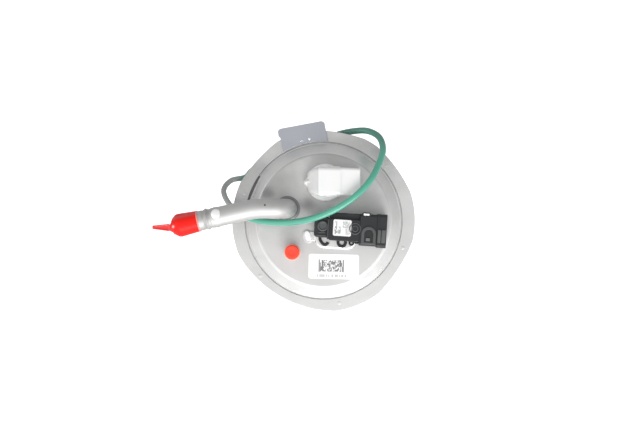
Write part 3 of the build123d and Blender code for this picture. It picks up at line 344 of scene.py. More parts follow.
# painted light: a brighter copy of the natural nylon for the connector's round base, lifting its shaded slopes
M["nylon_base"] = plastic("nylon_base_painted_light", (0.90, 0.90, 0.895), 0.48, 0.02, 300.0, 0.10, sub=0.15)
M["nylon"] = plastic("nylon_natural", (0.79, 0.79, 0.785), 0.42, 0.02, 300.0, 0.10, sub=0.15)
M["lock_white"] = plastic("lock_tab_white", (0.92, 0.92, 0.92), 0.35, 0.02, 300.0, 0.08)
M["black"] = plastic("nylon_black", (0.016, 0.017, 0.019), 0.44, 0.25, 420.0, 0.35)
# painted highlight: a lighter copy of the black nylon for the sensor's raised details, rib, arch and collar pads
M["black_lit"] = plastic("nylon_black_painted_highlight", (0.060, 0.062, 0.064), 0.40, 0.22, 420.0, 0.30, spec=0.8)
M["label_m"] = printed("label_white_main", (0.95, 0.95, 0.95), 0.0083, -0.0376, math.radians(-1.2), (
    (-0.0124, -0.0113, -0.0046, 0.0056, 0.00055, 1.0, 2.0, 0.75), (0.0073, 0.0084, -0.0046, 0.0056, 0.00045, 1.0, 2.0, 0.75),
    (-0.0112, -0.0085, -0.0042, 0.0052, 0.00062, 0.0031, 0.56, 0.85), (0.0048, 0.0074, -0.0042, 0.0052, 0.00062, 0.0031, 0.56, 0.85),
    (-0.0085, 0.0048, -0.0042, 0.0052, 0.00072, 0.00082, 0.58, 0.82), (-0.0138, 0.0103, -0.0087, -0.0065, 0.0009, 0.0022, 0.72, 0.42)))
M["label_s"] = printed("label_white_small", (0.79, 0.79, 0.79), 0.0210, -0.0065, math.radians(-3.6), (
    (-0.0122, -0.0104, -0.0050, 0.0054, 0.00085, 0.0013, 0.55, 0.70), (-0.0092, -0.0072, -0.0044, 0.0014, 0.00095, 0.0012, 0.50, 0.60),
    (-0.0058, -0.0004, 0.0006, 0.0056, 0.00045, 0.00045, 0.66, 0.50), (-0.0034, 0.0002, -0.0050, 0.0006, 0.00045, 0.00045, 0.60, 0.40), (-0.0104, -0.0096, -0.0050, -0.0020, 0.0008, 0.0010, 0.70, 0.60)))
M["seal"] = seal_mat("seal_green")
M["rubber"] = plastic("rubber_black", (0.018, 0.018, 0.018), 0.65, 0.2, 260.0, 0.35)
M["acetal"] = plastic("acetal_white", (0.60, 0.595, 0.560), 0.42, 0.03, 220.0, 0.12, sub=0.08)
M["acetal_black"] = plastic("acetal_black", (0.022, 0.022, 0.025), 0.45, 0.2, 320.0, 0.25)
M["hose"] = plastic("hose_black", (0.02, 0.02, 0.022), 0.38, 0.2, 300.0, 0.2)
M["carbon"] = plastic("carbon_track", (0.04, 0.04, 0.04), 0.6, 0.2)
M["fabric"] = plastic("strainer_fabric", (0.70, 0.70, 0.64), 0.75, 0.06, 900.0, 0.6)
M["card"] = plastic("card_ceramic", (0.80, 0.79, 0.73), 0.5, 0.03, 400.0, 0.08)
M["foam"] = plastic("float_foam", (0.025, 0.025, 0.024), 0.8, 0.3, 700.0, 0.7)
M["phenolic"] = plastic("phenolic", (0.09, 0.06, 0.045), 0.45, 0.15)
for nm, c in (("red", (0.45, 0.01, 0.01)), ("black", (0.01, 0.01, 0.01)), ("yellow", (0.62, 0.45, 0.03)), ("grey", (0.25, 0.25, 0.26))):
    M["wire_" + nm] = plastic("wire_" + nm, c, 0.4, 0.05, 500.0, 0.1)

# light levels
# world brightness against direction: -1 is behind the object (+Y), +1 in front of it (-Y)
WORLD = ((-1.0, 0.62), (-0.35, 0.51), (0.0, 0.67), (0.15, 0.87), (0.34, 1.30), (1.0, 1.38))
LIGHTS = (
    ("key", (0.15, -0.95, 1.10), (0, 0, 0.2), (0.9, 0.6), 9.5),
    ("fill", (-1.2, 0.3, 1.2), (0, 0, 0.2), (1.0, 1.0), 2.6),
)


# ------------------------------------------------------------------ geometry helpers (mm)
def rrect(x0, x1, y0, y1, r, n=6):
    pts = []
    for cx, cy, a in ((x1 - r, y1 - r, 0), (x0 + r, y1 - r, 90), (x0 + r, y0 + r, 180), (x1 - r, y0 + r, 270)):
        for i in range(n + 1):
            t = math.radians(a + 90.0 * i / n)
            pts.append((cx + r * math.cos(t), cy + r * math.sin(t)))
    return pts


def round_poly(pts, radii, n=5, closed=True):
    """Points of a polygon or polyline with its corners rounded."""
    out, m = [], len(pts)
    if isinstance(radii, (int, float)):
        radii = [radii] * m
    for i, p in enumerate(pts):
        p = V3((*p, 0)) if len(p) == 2 else V3(p)
        r = radii[i]
        if r <= 0 or (not closed and i in (0, m - 1)):
            out.append(p)
            continue
        a = pts[i - 1]
        c = pts[(i + 1) % m]
        a = V3((*a, 0)) if len(a) == 2 else V3(a)
        c = V3((*c, 0)) if len(c) == 2 else V3(c)
        u, v = (a - p), (c - p)
        lu, lv = u.length, v.length
        u, v = u / lu, v / lv
        ang = u.angle(v)
        if ang > math.pi - 1e-3:
            out.append(p)
            continue
        t = min(r / math.tan(ang / 2), lu * 0.49, lv * 0.49)
        rr = t * math.tan(ang / 2)
        mid = (u + v).normalized()
        cen = p + mid * (rr / math.sin(ang / 2))
        s, e = p + u * t - cen, p + v * t - cen
        tot = s.angle(e)
        k = max(2, int(math.ceil(n * tot / (math.pi / 2))))
        ax = s.cross(e).normalized()
        for j in range(k + 1):
            out.append(cen + Matrix.Rotation(tot * j / k, 3, ax) @ s)
    return out


def prism_bm(outline, z0, z1, hole=None, bev=0.4, seg=3):
    bm = bmesh.new()
    o0 = [bm.verts.new((p[0], p[1], z0)) for p in outline]
    o1 = [bm.verts.new((p[0], p[1], z1)) for p in outline]
    n = len(outline)
    for i in range(n):
        j = (i + 1) % n
        bm.faces.new((o0[i], o0[j], o1[j], o1[i]))
    if hole is None:
        bm.faces.new(list(reversed(o0)))
        bm.faces.new(o1)
    else:
        h0 = [bm.verts.new((p[0], p[1], z0)) for p in hole]
        h1 = [bm.verts.new((p[0], p[1], z1)) for p in hole]
        for i in range(n):
            j = (i + 1) % n
            bm.faces.new((h0[j], h0[i], h1[i], h1[j]))
            bm.faces.new((o0[j], o0[i], h0[i], h0[j]))
            bm.faces.new((o1[i], o1[j], h1[j], h1[i]))
    bmesh.ops.recalc_face_normals(bm, faces=bm.faces)
    if bev:
        ed = [e for e in bm.edges if len(e.link_faces) == 2 and e.calc_face_angle(0) > math.radians(32)]
        bmesh.ops.bevel(bm, geom=ed, offset=bev, segments=seg, profile=0.5, affect="EDGES", clamp_overlap=True)
    return bm


def box_bm(x0, x1, y0, y1, z0, z1, bev=0.4, r=0.0, seg=3):
    if r:
        return prism_bm(rrect(x0, x1, y0, y1, r), z0, z1, bev=bev, seg=seg)
    return prism_bm([(x0, y0), (x1, y0), (x1, y1), (x0, y1)], z0, z1, bev=bev, seg=seg)


def lathe_bm(profile, seg=96, closed=False, rfun=None):
    """Surface of revolution about Z from (r, z) points; rfun(r, z, angle) may change r."""
    bm = bmesh.new()
    rings = []
    for p in profile:
        r, z = p[0], p[1]
        if r < 1e-6:
            rings.append([bm.verts.new((0, 0, z))])
        else:
            row = []
            for i in range(seg):
                a = 2 * math.pi * i / seg
                rr = rfun(r, z, a) if rfun else r
                row.append(bm.verts.new((rr * math.cos(a), rr * math.sin(a), z)))
            rings.append(row)
    pairs = list(zip(rings, rings[1:])) + ([(rings[-1], rings[0])] if closed else [])
    for a, b in pairs:
        for i in range(seg):
            j = (i + 1) % seg
            if len(a) == 1 and len(b) == 1:
                break
            if len(a) == 1:
                bm.faces.new((a[0], b[j], b[i]))
            elif len(b) == 1:
                bm.faces.new((a[i], a[j], b[0]))
            else:
                bm.faces.new((a[i], a[j], b[j], b[i]))
    bmesh.ops.recalc_face_normals(bm, faces=bm.faces)
    return bm


def prof(pts, radii, closed=False, n=5):
    return [(p[0], p[1]) for p in round_poly(pts, radii, n=n, closed=closed)]


def resample(path, step, closed=False):
    pts = [V3(p) for p in path]
    if closed:
        pts = pts + [pts[0]]
    d = [0.0]
    for a, b in zip(pts, pts[1:]):
        d.append(d[-1] + (b - a).length)
    n = max(3, int(round(d[-1] / step)))
    out, k = [], 0
    for i in range(n if closed else n + 1):
        s = d[-1] * i / n
        while k < len(pts) - 2 and d[k + 1] < s:
            k += 1
        t = (s - d[k]) / max(1e-9, d[k + 1] - d[k])
        out.append(pts[k].lerp(pts[k + 1], t))
    return out


def spline(pts, per=12, closed=False):
    """Centripetal-like smooth curve through points (Catmull-Rom)."""
    P = [V3(p) for p in pts]
    n = len(P)
    out = []
    rngk = range(n) if closed else range(n - 1)
    for i in rngk:
        p0 = P[(i - 1) % n] if closed or i > 0 else P[0] * 2 - P[1]
        p1, p2 = P[i], P[(i + 1) % n]
        p3 = P[(i + 2) % n] if closed or i + 2 < n else P[-1] * 2 - P[-2]
        for k in range(per):
            t = k / per
            out.append(0.5 * ((2 * p1) + (p2 - p0) * t + (2 * p0 - 5 * p1 + 4 * p2 - p3) * t * t + (3 * p1 - p0 - 3 * p2 + p3) * t ** 3))
    if not closed:
        out.append(P[-1])
    return out


def sweep_bm(path, section, closed=False, scale=None, twist=None, caps=True, up=None):
    """Sweeps a closed 2-D section along path, with frames carried along without turning."""
    P = [V3(p) for p in path]
    n = len(P)
    T = []
    for i in range(n):
        a = P[i - 1] if (closed or i > 0) else P[i]
        b = P[(i + 1) % n] if (closed or i < n - 1) else P[i]
        T.append((b - a).normalized())
    u = V3(up) if up is not None else (V3((0, 0, 1)) if abs(T[0].z) < 0.9 else V3((1, 0, 0)))
    u = (u - T[0] * u.dot(T[0])).normalized()
    U = [u]
    for i in range(1, n):
        q = T[i - 1].rotation_difference(T[i])
        u = q @ U[-1]
        u = (u - T[i] * u.dot(T[i])).normalized()
        U.append(u)
    fix = 0.0
    if closed:
        q = T[-1].rotation_difference(T[0])
        e = q @ U[-1]
        fix = e.angle(U[0])
        if T[0].dot(e.cross(U[0])) < 0:
            fix = -fix
    bm = bmesh.new()
    rings = []
    for i in range(n):
        W = T[i].cross(U[i])
        a = fix * i / n + (twist(i / n) if twist else 0.0)
        ca, sa = math.cos(a), math.sin(a)
        s = scale(i / max(1, n - 1)) if scale else 1.0
        row = []
        for x, y in section:
            xx, yy = (x * ca - y * sa) * s, (x * sa + y * ca) * s
            row.append(bm.verts.new(P[i] + U[i] * xx + W * yy))
        rings.append(row)
    m = len(section)
    pairs = list(zip(rings, rings[1:])) + ([(rings[-1], rings[0])] if closed else [])
    for a, b in pairs:
        for i in range(m):
            j = (i + 1) % m
            bm.faces.new((a[i], a[j], b[j], b[i]))
    if not closed and caps:
        bm.faces.new(list(reversed(rings[0])))
        bm.faces.new(rings[-1])
    bmesh.ops.recalc_face_normals(bm, faces=bm.faces)
    return bm


def circle(r, n=20, e=1.0):
    return [(r * math.cos(2 * math.pi * i / n), r * e * math.sin(2 * math.pi * i / n)) for i in range(n)]


def axis_matrix(origin, z):
    z = V3(z).normalized()
    q = V3((0, 0, 1)).rotation_difference(z)
    return Matrix.Translation(V3(origin)) @ q.to_matrix().to_4x4()


class Shape:
    """Closed shells gathered into one object."""

    def __init__(self, name, *mats):
        self.name, self.mats = name, mats
        self.bm = bmesh.new()

    def add(self, bm, matrix=None, mat=0):
        for f in bm.faces:
            f.material_index = mat
        me = bpy.data.meshes.new("part")
        bm.to_mesh(me)
        bm.free()
        if matrix is not None:
            me.transform(matrix)
        self.bm.from_mesh(me)
        bpy.data.meshes.remove(me)
        return self

    def done(self, body, *nodes, slot=None, sharp=38, weighted=True):
        me = bpy.data.meshes.new(self.name)
        self.bm.to_mesh(me)
        self.bm.free()
        me.transform(Matrix.Scale(MM, 4))
        for p in me.polygons:
            p.use_smooth = True
        me.set_sharp_from_angle(angle=math.radians(sharp))
        for m in self.mats:
            me.materials.append(m)
        ob = bpy.data.objects.new(self.name, me)
        bpy.context.scene.collection.objects.link(ob)
        if weighted:
            w = ob.modifiers.new("wn", "WEIGHTED_NORMAL")
            w.keep_sharp = True
        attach(ob, body)
        if nodes:
            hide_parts(*nodes)
        return ob


def T(x=0, y=0, z=0):
    return Matrix.Translation(V3((x, y, z)))


def RZ(a):
    return Matrix.Rotation(math.radians(a), 4, "Z")


def RX(a):
    return Matrix.Rotation(math.radians(a), 4, "X")


def RY(a):
    return Matrix.Rotation(math.radians(a), 4, "Y")


def polar(r, a):
    return r * math.cos(math.radians(a)), r * math.sin(math.radians(a))


# ------------------------------------------------------------------ flange cover
RIM_R = 75.4
DIPS = ((36, 74.0, 49.0), (81, 73.8, 60.0), (138, 73.9, 60.0), (240, 72.0, 20.7), (327, 73.4, 60.0))


def rim(r, z, a):
    if r < 70:
        if 62.5 < r < 64.7:
            t = (math.degrees(a) - 156.0) / 13.0
            return r - 1.25 * math.exp(-t * t)
        return r
    R = RIM_R
    for ang, d, off in DIPS:
        phi = a - math.radians(ang)
        rho = d + off
        R = min(R, -off * math.cos(phi) + math.sqrt(rho * rho - (off * math.sin(phi)) ** 2))
    return r * R / 75.0


pts = [(0, UNDER_Z), (54.5, UNDER_Z), (62.45, SEAT_Z), (75, SEAT_Z), (75, TOP_Z), (65.05, TOP_Z), (64.75, TOP_Z - 1.1),
       (64.2, TOP_Z - 1.1), (64.0, TOP_Z + 0.1), (63.6, TOP_Z + 0.27), (63.0, TOP_Z + 0.28), (62.7, TOP_Z + 0.45), (55.0, PLAT_Z), (0, PLAT_Z)]
rad = [0, 2.0, 2.2, 0.35, 0.35, 0.35, 0.15, 0.15, 0.2, 0.25, 0.2, 0.3, 3.8, 0]
s = Shape("flange_cover_skin", M["cover"], M["groove"], M["skirt"])
s.add(lathe_bm(prof(pts, rad, n=8), seg=288, rfun=rim))
for f in s.bm.faces:
    c = f.calc_center_median()
    # painted shade: groove faces near 156 degrees take the dark groove material
    if 62.5 < math.hypot(c.x, c.y) < 64.9 and TOP_Z - 1.4 < c.z < TOP_Z - 0.3 and abs(math.degrees(math.atan2(c.y, c.x)) - 156) < 11:
        f.material_index = 1
    # painted highlight: the sloped skirt faces take the brighter skirt copy
    elif 55.4 < math.hypot(c.x, c.y) < 62.6 and c.z > TOP_Z + 0.5 and f.normal.z > 0 and f.normal.z < 0.97:
        f.material_index = 2
for ang in (41, 161, 221, 281, 341):
    x, y = polar(69.2, ang)
    s.add(lathe_bm([(1.6, TOP_Z - 0.05), (1.4, TOP_Z + 0.03), (1.0, TOP_Z + 0.08), (0.5, TOP_Z + 0.105), (0, TOP_Z + 0.11)], seg=24), T(x, y))
s.done("cover", "flange_cover", slot="cover_steel")

# index tab
arc = []
for i in range(17):
    u = -22.4 + (15.6 + 22.4) * i / 16
    arc.append((u, math.sqrt(65.4 ** 2 - u * u)))
out = arc + [(15.6, 80.9), (-23.6, 80.9), (-23.6, 74.6), (-22.4, 73.2)]
radii = [0.3] + [0] * 15 + [0.3] + [3.0, 3.0, 0.6, 0.8]
s = Shape("index_tab_plate", M["tab"], M["tube"])
s.add(prism_bm([(p.x, p.y) for p in round_poly(out, radii, n=6)], TOP_Z + 0.02, TOP_Z + 1.25, bev=0.3), RZ(10.6))
s.add(lathe_bm([(1.05, TOP_Z + 1.1), (1.0, TOP_Z + 1.4), (0.6, TOP_Z + 1.6), (0, TOP_Z + 1.65)], seg=24), T(-11.6, 67.6), mat=1)
s.add(box_bm(-1.6, 1.6, -0.35, 0.35, TOP_Z + 1.1, TOP_Z + 1.42, 0.12), T(-17.8, 65.6) @ RZ(12), mat=1)
s.done("cover", "index_tab", slot="tab_steel")

# ------------------------------------------------------------------ vent pipe
PA = TOP_Z + 37.0
DIR = V3((-math.cos(math.radians(12.5)), -math.sin(math.radians(12.5)), -0.045)).normalized()
KNEE = V3((-55.0, PIPE_Y, PA - 0.5))
PEND = KNEE + DIR * 64.0
path = round_poly([(PIPE_X, PIPE_Y, 205.0), (PIPE_X, PIPE_Y, PA), tuple(KNEE), tuple(PEND)], [0, 23.0, 60.0, 0], n=22, closed=False)
path = resample(path, 0.45)
tot = sum((b - a).length for a, b in zip(path, path[1:]))


def pipe_scale(t):
    s_end = tot * (1 - t)
    r = 1.0
    for c, h, w in ((25.3, 0.85, 0.85), (27.8, -0.40, 0.55), (22.9, -0.34, 0.5), (32.4, 0.36, 2.4), (20.8, 0.15, 0.5)):
        r += h / PIPE_R * math.exp(-((s_end - c) / w) ** 2)
    return r



def on_pipe(x, y):
    """The point of the pipe's upper side above (x, y)."""
    p = min(path, key=lambda q: abs(q[0] - x))
    return (x * MM, y * MM, (p[2] + math.sqrt(max(0.0, PIPE_R ** 2 - (y - p[1]) ** 2))) * MM)


bx, by = PEND.x - DIR.x * 25.0, PEND.y - DIR.y * 25.0
# painted shade: darker spots on the pipe's upper and lower side near the bead and beside the knee; the spot argument is
# a small dark blemish
M["pipe"] = plated("pipe_satin", (0.585, 0.585, 0.58), 0.60, 0.13, spot=(on_pipe(-46.6, 12.5), 0.0009), painted_shade_patches=(
    (bx * MM, (by + 5.0) * MM, 0.0042, 0.0045, 0.30), ((bx - 1.5) * MM, (by - 4.5) * MM, 0.0020, 0.0035, 0.24), (-0.0250, 0.0150, 0.0070, 0.0035, 0.20)))
s = Shape("vent_pipe_tube", M["pipe"], M["painted_highlight_pad"], M["pipe_foot"])
s.add(sweep_bm(path, circle(PIPE_R, 64), scale=pipe_scale))
# painted shade: the pipe below PLAT_Z + 8 and its collar take the dark foot material
for f in s.bm.faces:
    if f.calc_center_median().z < PLAT_Z + 8.0:
        f.material_index = 2
s.add(lathe_bm(prof([(PIPE_R - 0.4, PLAT_Z - 0.1), (PIPE_R + 2.5, PLAT_Z - 0.1), (PIPE_R + 2.5, PLAT_Z + 0.25), (PIPE_R + 0.5, PLAT_Z + 0.8), (PIPE_R - 0.2, PLAT_Z + 2.6)], [0, 0.1, 0.3, 1.2, 0], n=8), seg=64), T(PIPE_X, PIPE_Y), mat=2)
bq = PEND - DIR * 32.6
# painted highlight: a low round bump on the pipe's top in the near-white pad material
s.add(lathe_bm([(4.05, -0.45), (3.9, 0.05), (3.4, 0.45), (2.5, 0.75), (1.3, 0.93), (0, 1.0)], seg=40), T(bq.x, bq.y + 2.7, bq.z + math.sqrt(PIPE_R ** 2 - 2.7 ** 2) - 0.12) @ RX(-17), mat=1)
s.done("cover", "vent_pipe", slot="tube_steel")

# red cap: about the pipe's end run, mouth 18.4 mm back from the end
CAPM = axis_matrix(PEND - DIR * 18.4, DIR)


def paint_cap_reflections(m, px, py, nx, ny, off, wid, col, highlight_at, highlight_r, highlight_col):
    """Painted reflection: a pale band along one side of a moulded cap; painted highlight: one small pale spot near its
    tip.
    """
    nt = m.node_tree
    b = nt.nodes["Principled BSDF"]
    base = b.inputs["Base Color"].links[0].from_socket
    o = xyz(nt, coords(nt))
    d = math2(nt, "ADD", math2(nt, "MULTIPLY", math2(nt, "SUBTRACT", o["X"], px), nx), math2(nt, "MULTIPLY", math2(nt, "SUBTRACT", o["Y"], py), ny))
    e = math2(nt, "DIVIDE", math2(nt, "SUBTRACT", d, off), wid)
    band = math2(nt, "MULTIPLY", math2(nt, "POWER", 2.718, math2(nt, "MULTIPLY", math2(nt, "MULTIPLY", e, e), -1.0)), 0.75)
    c = link_mix(nt, band, base, col)
    dx = math2(nt, "DIVIDE", math2(nt, "SUBTRACT", o["X"], highlight_at[0]), highlight_r)
    dy = math2(nt, "DIVIDE", math2(nt, "SUBTRACT", o["Y"], highlight_at[1]), highlight_r)
    g = math2(nt, "POWER", 2.718, math2(nt, "MULTIPLY", math2(nt, "ADD", math2(nt, "MULTIPLY", dx, dx), math2(nt, "MULTIPLY", dy, dy)), -1.0))
    g = math2(nt, "MULTIPLY", g, math2(nt, "GREATER_THAN", o["Z"], highlight_at[2]))
    nt.links.new(link_mix(nt, g, c, highlight_col), b.inputs["Base Color"])


# painted reflection: a pale band along the red cap's upper side; painted highlight: a pale spot near the tail's root
sp = PEND + DIR * 2.4
paint_cap_reflections(M["red"], PEND.x * MM, PEND.y * MM, DIR.y, -DIR.x, 0.0066, 0.0012, (0.58, 0.115, 0.12), (sp.x * MM, sp.y * MM, PEND.z * MM), 0.0010, (1.0, 0.62, 0.58))
s = Shape("vent_cap_red", M["red"], M["red_lip"], M["red_tail"])
pp = [(PIPE_R + 0.1, 0.9), (PIPE_R + 0.5, 0.9), (PIPE_R + 0.62, 3.0), (PIPE_R + 1.45, 15.4), (PIPE_R + 1.2, 17.6), (PIPE_R - 1.2, 20.7),
      (PIPE_R - 4.6, 22.9), (0, 23.6), (0, 22.2), (PIPE_R - 3.0, 20.6), (PIPE_R + 0.1, 18.75)]
s.add(lathe_bm(prof(pp, [0.1, 0.2, 2, 6, 3.0, 4, 4, 0, 0, 1, 0], n=8), seg=72, closed=True), CAPM)
s.add(lathe_bm(prof([(PIPE_R + 0.06, 0.0), (PIPE_R + 0.62, 0.0), (PIPE_R + 0.66, 1.15), (PIPE_R + 0.06, 1.15)], [0.1, 0.25, 0.25, 0.1], n=4), seg=72, closed=True), CAPM, mat=1)
tb = PEND + DIR * 4.0 + V3((0, -0.5, 0.0))
tdir = V3((-1, 0.02, 0)).normalized()
TAIL0, TAIL1 = -2.5, 16.2
tpts = [tb + tdir * t for t in [TAIL0 + 0.55 * i for i in range(int((TAIL1 - TAIL0) / 0.55) + 1)]]


def tail_bm():
    bm = bmesh.new()
    rings = []
    side = V3((0, 0, 1)).cross(tdir).normalized()
    for k, p in enumerate(tpts):
        t = TAIL0 + 0.55 * k
        f = max(0.0, min(1.0, t / (TAIL1 - 1.0)))
        w = 3.25 * (1 - f) + 1.5 * f
        root = max(0.0, 1 - (t + 2.5) / 3.6)
        w += 2.6 * root ** 2
        if 0.6 < t < 3.0:
            w -= 0.35 * math.sin(math.pi * (t - 0.6) / 2.4)
        h = 1.15 + 1.9 * root ** 2
        if t > TAIL1 - 1.6:
            e = min(1.0, (t - TAIL1 + 1.6) / 1.6)
            w *= math.sqrt(max(0.03, 1 - e * e))
            h *= math.sqrt(max(0.06, 1 - 0.8 * e * e))
        row = []
        for i in range(28):
            a = 2 * math.pi * i / 28
            ca, sa = math.cos(a), math.sin(a)
            x = w * math.copysign(abs(ca) ** 0.5, ca)
            z = h * math.copysign(abs(sa) ** 0.6, sa)
            # a shallow channel along the upper face and a low rib along the lower one
            if abs(ca) < 0.62:
                k_ = 1 - (abs(ca) / 0.62) ** 2
                z += -0.75 * k_ * max(0.0, min(1.0, (t - 1.6) / 1.2)) * max(0.0, min(1.0, (TAIL1 - 1.9 - t) / 1.2)) if sa > 0 else -0.22 * k_
            row.append(bm.verts.new(p + side * x + V3((0, 0, z))))
        rings.append(row)
    for a, b in zip(rings, rings[1:]):
        for i in range(28):
            j = (i + 1) % 28
            bm.faces.new((a[i], a[j], b[j], b[i]))
    bm.faces.new(list(reversed(rings[0])))
    bm.faces.new(rings[-1])
    bmesh.ops.recalc_face_normals(bm, faces=bm.faces)
    return bm


s.add(tail_bm(), mat=2)
s.done("vent_pipe_cap", "vent_pipe_cap", slot="cap_red", sharp=60)

# feed tube and its red cap
FT = TOP_Z + 26.0
s = Shape("feed_tube_steel", M["tube"])
pp = [(FEED_R - 0.9, 196.0), (FEED_R, 196.0), (FEED_R + 0.55, 199.1), (FEED_R, 199.2), (FEED_R, 200.6), (FEED_R + 0.55, 202.6), (FEED_R, 202.7), (FEED_R, PLAT_Z), (FEED_R + 1.9, PLAT_Z),
      (FEED_R + 1.0, PLAT_Z + 0.8), (FEED_R, PLAT_Z + 1.6), (FEED_R, PLAT_Z + 4.6), (FEED_R + 0.9, PLAT_Z + 5.4), (FEED_R + 0.9, PLAT_Z + 6.4), (FEED_R, PLAT_Z + 7.2), (FEED_R, FT), (FEED_R - 0.9, FT)]
s.add(lathe_bm(prof(pp, [0.1, 0.2, 0.1, 0, 0, 0.1, 0, 0, 0.2, 0.6, 0.6, 0.5, 0.4, 0.4, 0.5, 0.2, 0.2]), seg=48, closed=True), T(FEED_X, FEED_Y))
s.done("cover", "feed_tube", slot="tube_steel")
s = Shape("feed_cap_red", M["red_small"], M["red_pale"])
pp = [(FEED_R + 0.1, FT - 8.4), (FEED_R + 1.15, FT - 8.4), (FEED_R + 1.2, FT - 7.4), (FEED_R + 0.95, FT - 7.0), (FEED_R + 1.1, FT + 1.7), (FEED_R - 1.6, FT + 1.7), (FEED_R - 2.0, FT + 1.35), (0, FT + 1.35), (0, FT + 0.1), (FEED_R + 0.1, FT + 0.05)]
s.add(lathe_bm(prof(pp, [0.1, 0.3, 0.2, 0.4, 1.2, 0.3, 0.3, 0, 0, 0.2], n=7), seg=56, closed=True), T(FEED_X, FEED_Y))
s.add(lathe_bm(prof([(FEED_R + 1.0, FT - 8.42), (FEED_R + 2.1, FT - 8.42), (FEED_R + 2.0, FT - 7.5), (FEED_R + 1.0, FT - 6.9)], [0.1, 0.3, 0.3, 0.1], n=4), seg=56, closed=True), T(FEED_X, FEED_Y), mat=1)
s.done("feed_port_cap", "feed_port_cap", slot="cap_red")

# ------------------------------------------------------------------ bulkhead connector
SZ0, SZ1 = PLAT_Z + 4.2, TOP_Z + 31.0
s = Shape("bulkhead_connector_body", M["nylon"], M["nylon_base"])


def tear(r, z, a):
    """Round base with a small pointer on its left side."""
    d = abs((a - math.pi + math.pi) % (2 * math.pi) - math.pi)
    if r < 9.0:
        return r
    return r + 2.5 * math.exp(-(d / math.radians(8.5)) ** 2) * min(1.0, (r - 9.0) / 5.0)


# painted light: the round base takes the brighter nylon copy
s.add(lathe_bm(prof([(0, PLAT_Z + 0.8), (15.3, PLAT_Z + 0.8), (15.3, PLAT_Z + 4.0), (14.5, PLAT_Z + 6.2), (12.0, PLAT_Z + 8.0), (0, PLAT_Z + 9.6)], [0, 0.4, 1.2, 2.4, 4.0, 0], n=8), seg=180, rfun=tear), T(CX + 0.7, CY - 0.5), mat=1)
s.add(lathe_bm(prof([(0, 203.5), (10.6, 203.5), (10.6, PLAT_Z + 1.0), (0, PLAT_Z + 1.0)], [0, 0.5, 0, 0]), seg=64), T(CX, CY))


def x_prism(x0, x1, y0, y1, z0, z1, r, bev=0.4, hole=None, hr=1.2):
    """Rounded-rectangle prism along X; hole is (y0, y1, z0, z1)."""
    o = rrect(y0, y1, z0, z1, r)
    h = rrect(hole[0], hole[1], hole[2], hole[3], hr) if hole else None
    bm = prism_bm(o, x0, x1, hole=h, bev=bev)
    bm.transform(Matrix(((0, 0, 1, 0), (1, 0, 0, 0), (0, 1, 0, 0), (0, 0, 0, 1))))
    bmesh.ops.recalc_face_normals(bm, faces=bm.faces)
    return bm



def taper(bm):
    """The housing is a little wider towards its base."""
    for v in bm.verts:
        v.co.y = CY + (v.co.y - CY) * (1 + 0.0052 * (29.4 - max(v.co.x, 6.0)))
    return bm


s.add(taper(x_prism(-4.9, 16.2, CY - 10.5, CY + 10.5, SZ0, SZ1, 3.0, 2.2)))
s.add(taper(x_prism(13.6, 29.4, CY - 10.5, CY + 10.5, SZ0, SZ1, 2.4, 0.35, hole=(CY - 8.6, CY + 8.6, SZ0 + 2.0, SZ1 - 2.0))))
cowl = bmesh.new()
cz = []
for x, hw, z in ((-13.2, 6.2, PLAT_Z + 7.2), (-11.0, 8.2, PLAT_Z + 10.0), (-7.5, 9.6, PLAT_Z + 15.2), (-4.6, 10.1, SZ1 - 2.2), (-2.4, 10.2, SZ1 - 0.5), (0.5, 10.2, SZ1 - 0.25)):
    row = []
    for i in range(17):
        a = math.pi * i / 16
        c_, s_ = math.cos(a), math.sin(a)
        row.append(cowl.verts.new((x, CY + hw * math.copysign(abs(c_) ** 0.45, c_), PLAT_Z + 5.0 + (z - PLAT_Z - 5.0) * abs(s_) ** 0.30)))
    cz.append(row)
for p_, q_ in zip(cz, cz[1:]):
    for i in range(16):
        cowl.faces.new((p_[i], p_[i + 1], q_[i + 1], q_[i]))
    cowl.faces.new((p_[16], p_[0], q_[0], q_[16]))
cowl.faces.new(cz[0])
cowl.faces.new(list(reversed(cz[-1])))
bmesh.ops.recalc_face_normals(cowl, faces=cowl.faces)
s.add(taper(cowl))
# pointed key at the base and the fine ridge that runs from it to the shroud
s.add(prism_bm([(-16.2, 0.0), (-13.0, -0.7), (-4.4, -0.45), (-4.4, 0.45), (-13.0, 0.7)], PLAT_Z + 5.0, PLAT_Z + 9.9, bev=0.3), T(CX, CY))
s.add(taper(box_bm(2.0, 13.4, CY - 11.1, CY - 10.2, SZ0 + 3.0, SZ1 - 3.0, 0.35)))
s.add(taper(box_bm(2.0, 13.4, CY + 10.2, CY + 11.1, SZ0 + 3.0, SZ1 - 3.0, 0.35)))
s.done("cover", "bulkhead_connector", slot="nylon_natural")

# ------------------------------------------------------------------ sensor bracket, sensor, labels
SR = T(21.0, -6.5) @ RZ(-3.6)
s = Shape("sensor_bracket_plate", M["bracket"], M["painted_highlight_pad"], M["bracket_dull"])
s.add(prism_bm(rrect(-28.0, 6.5, -17.3, 12.0, 8.0, 12), PLAT_Z - 0.2, PLAT_Z + 2.5, bev=1.5, seg=3), SR)


def oval(a, b, n=48):
    return [(a * math.cos(2 * math.pi * i / n), b * math.sin(2 * math.pi * i / n)) for i in range(n)]


EAR = T(-13.0, -13.0) @ RZ(14)
s.add(prism_bm(oval(4.2, 5.6), PLAT_Z - 0.1, PLAT_Z + 0.8, bev=0.6, seg=4), EAR, mat=2)
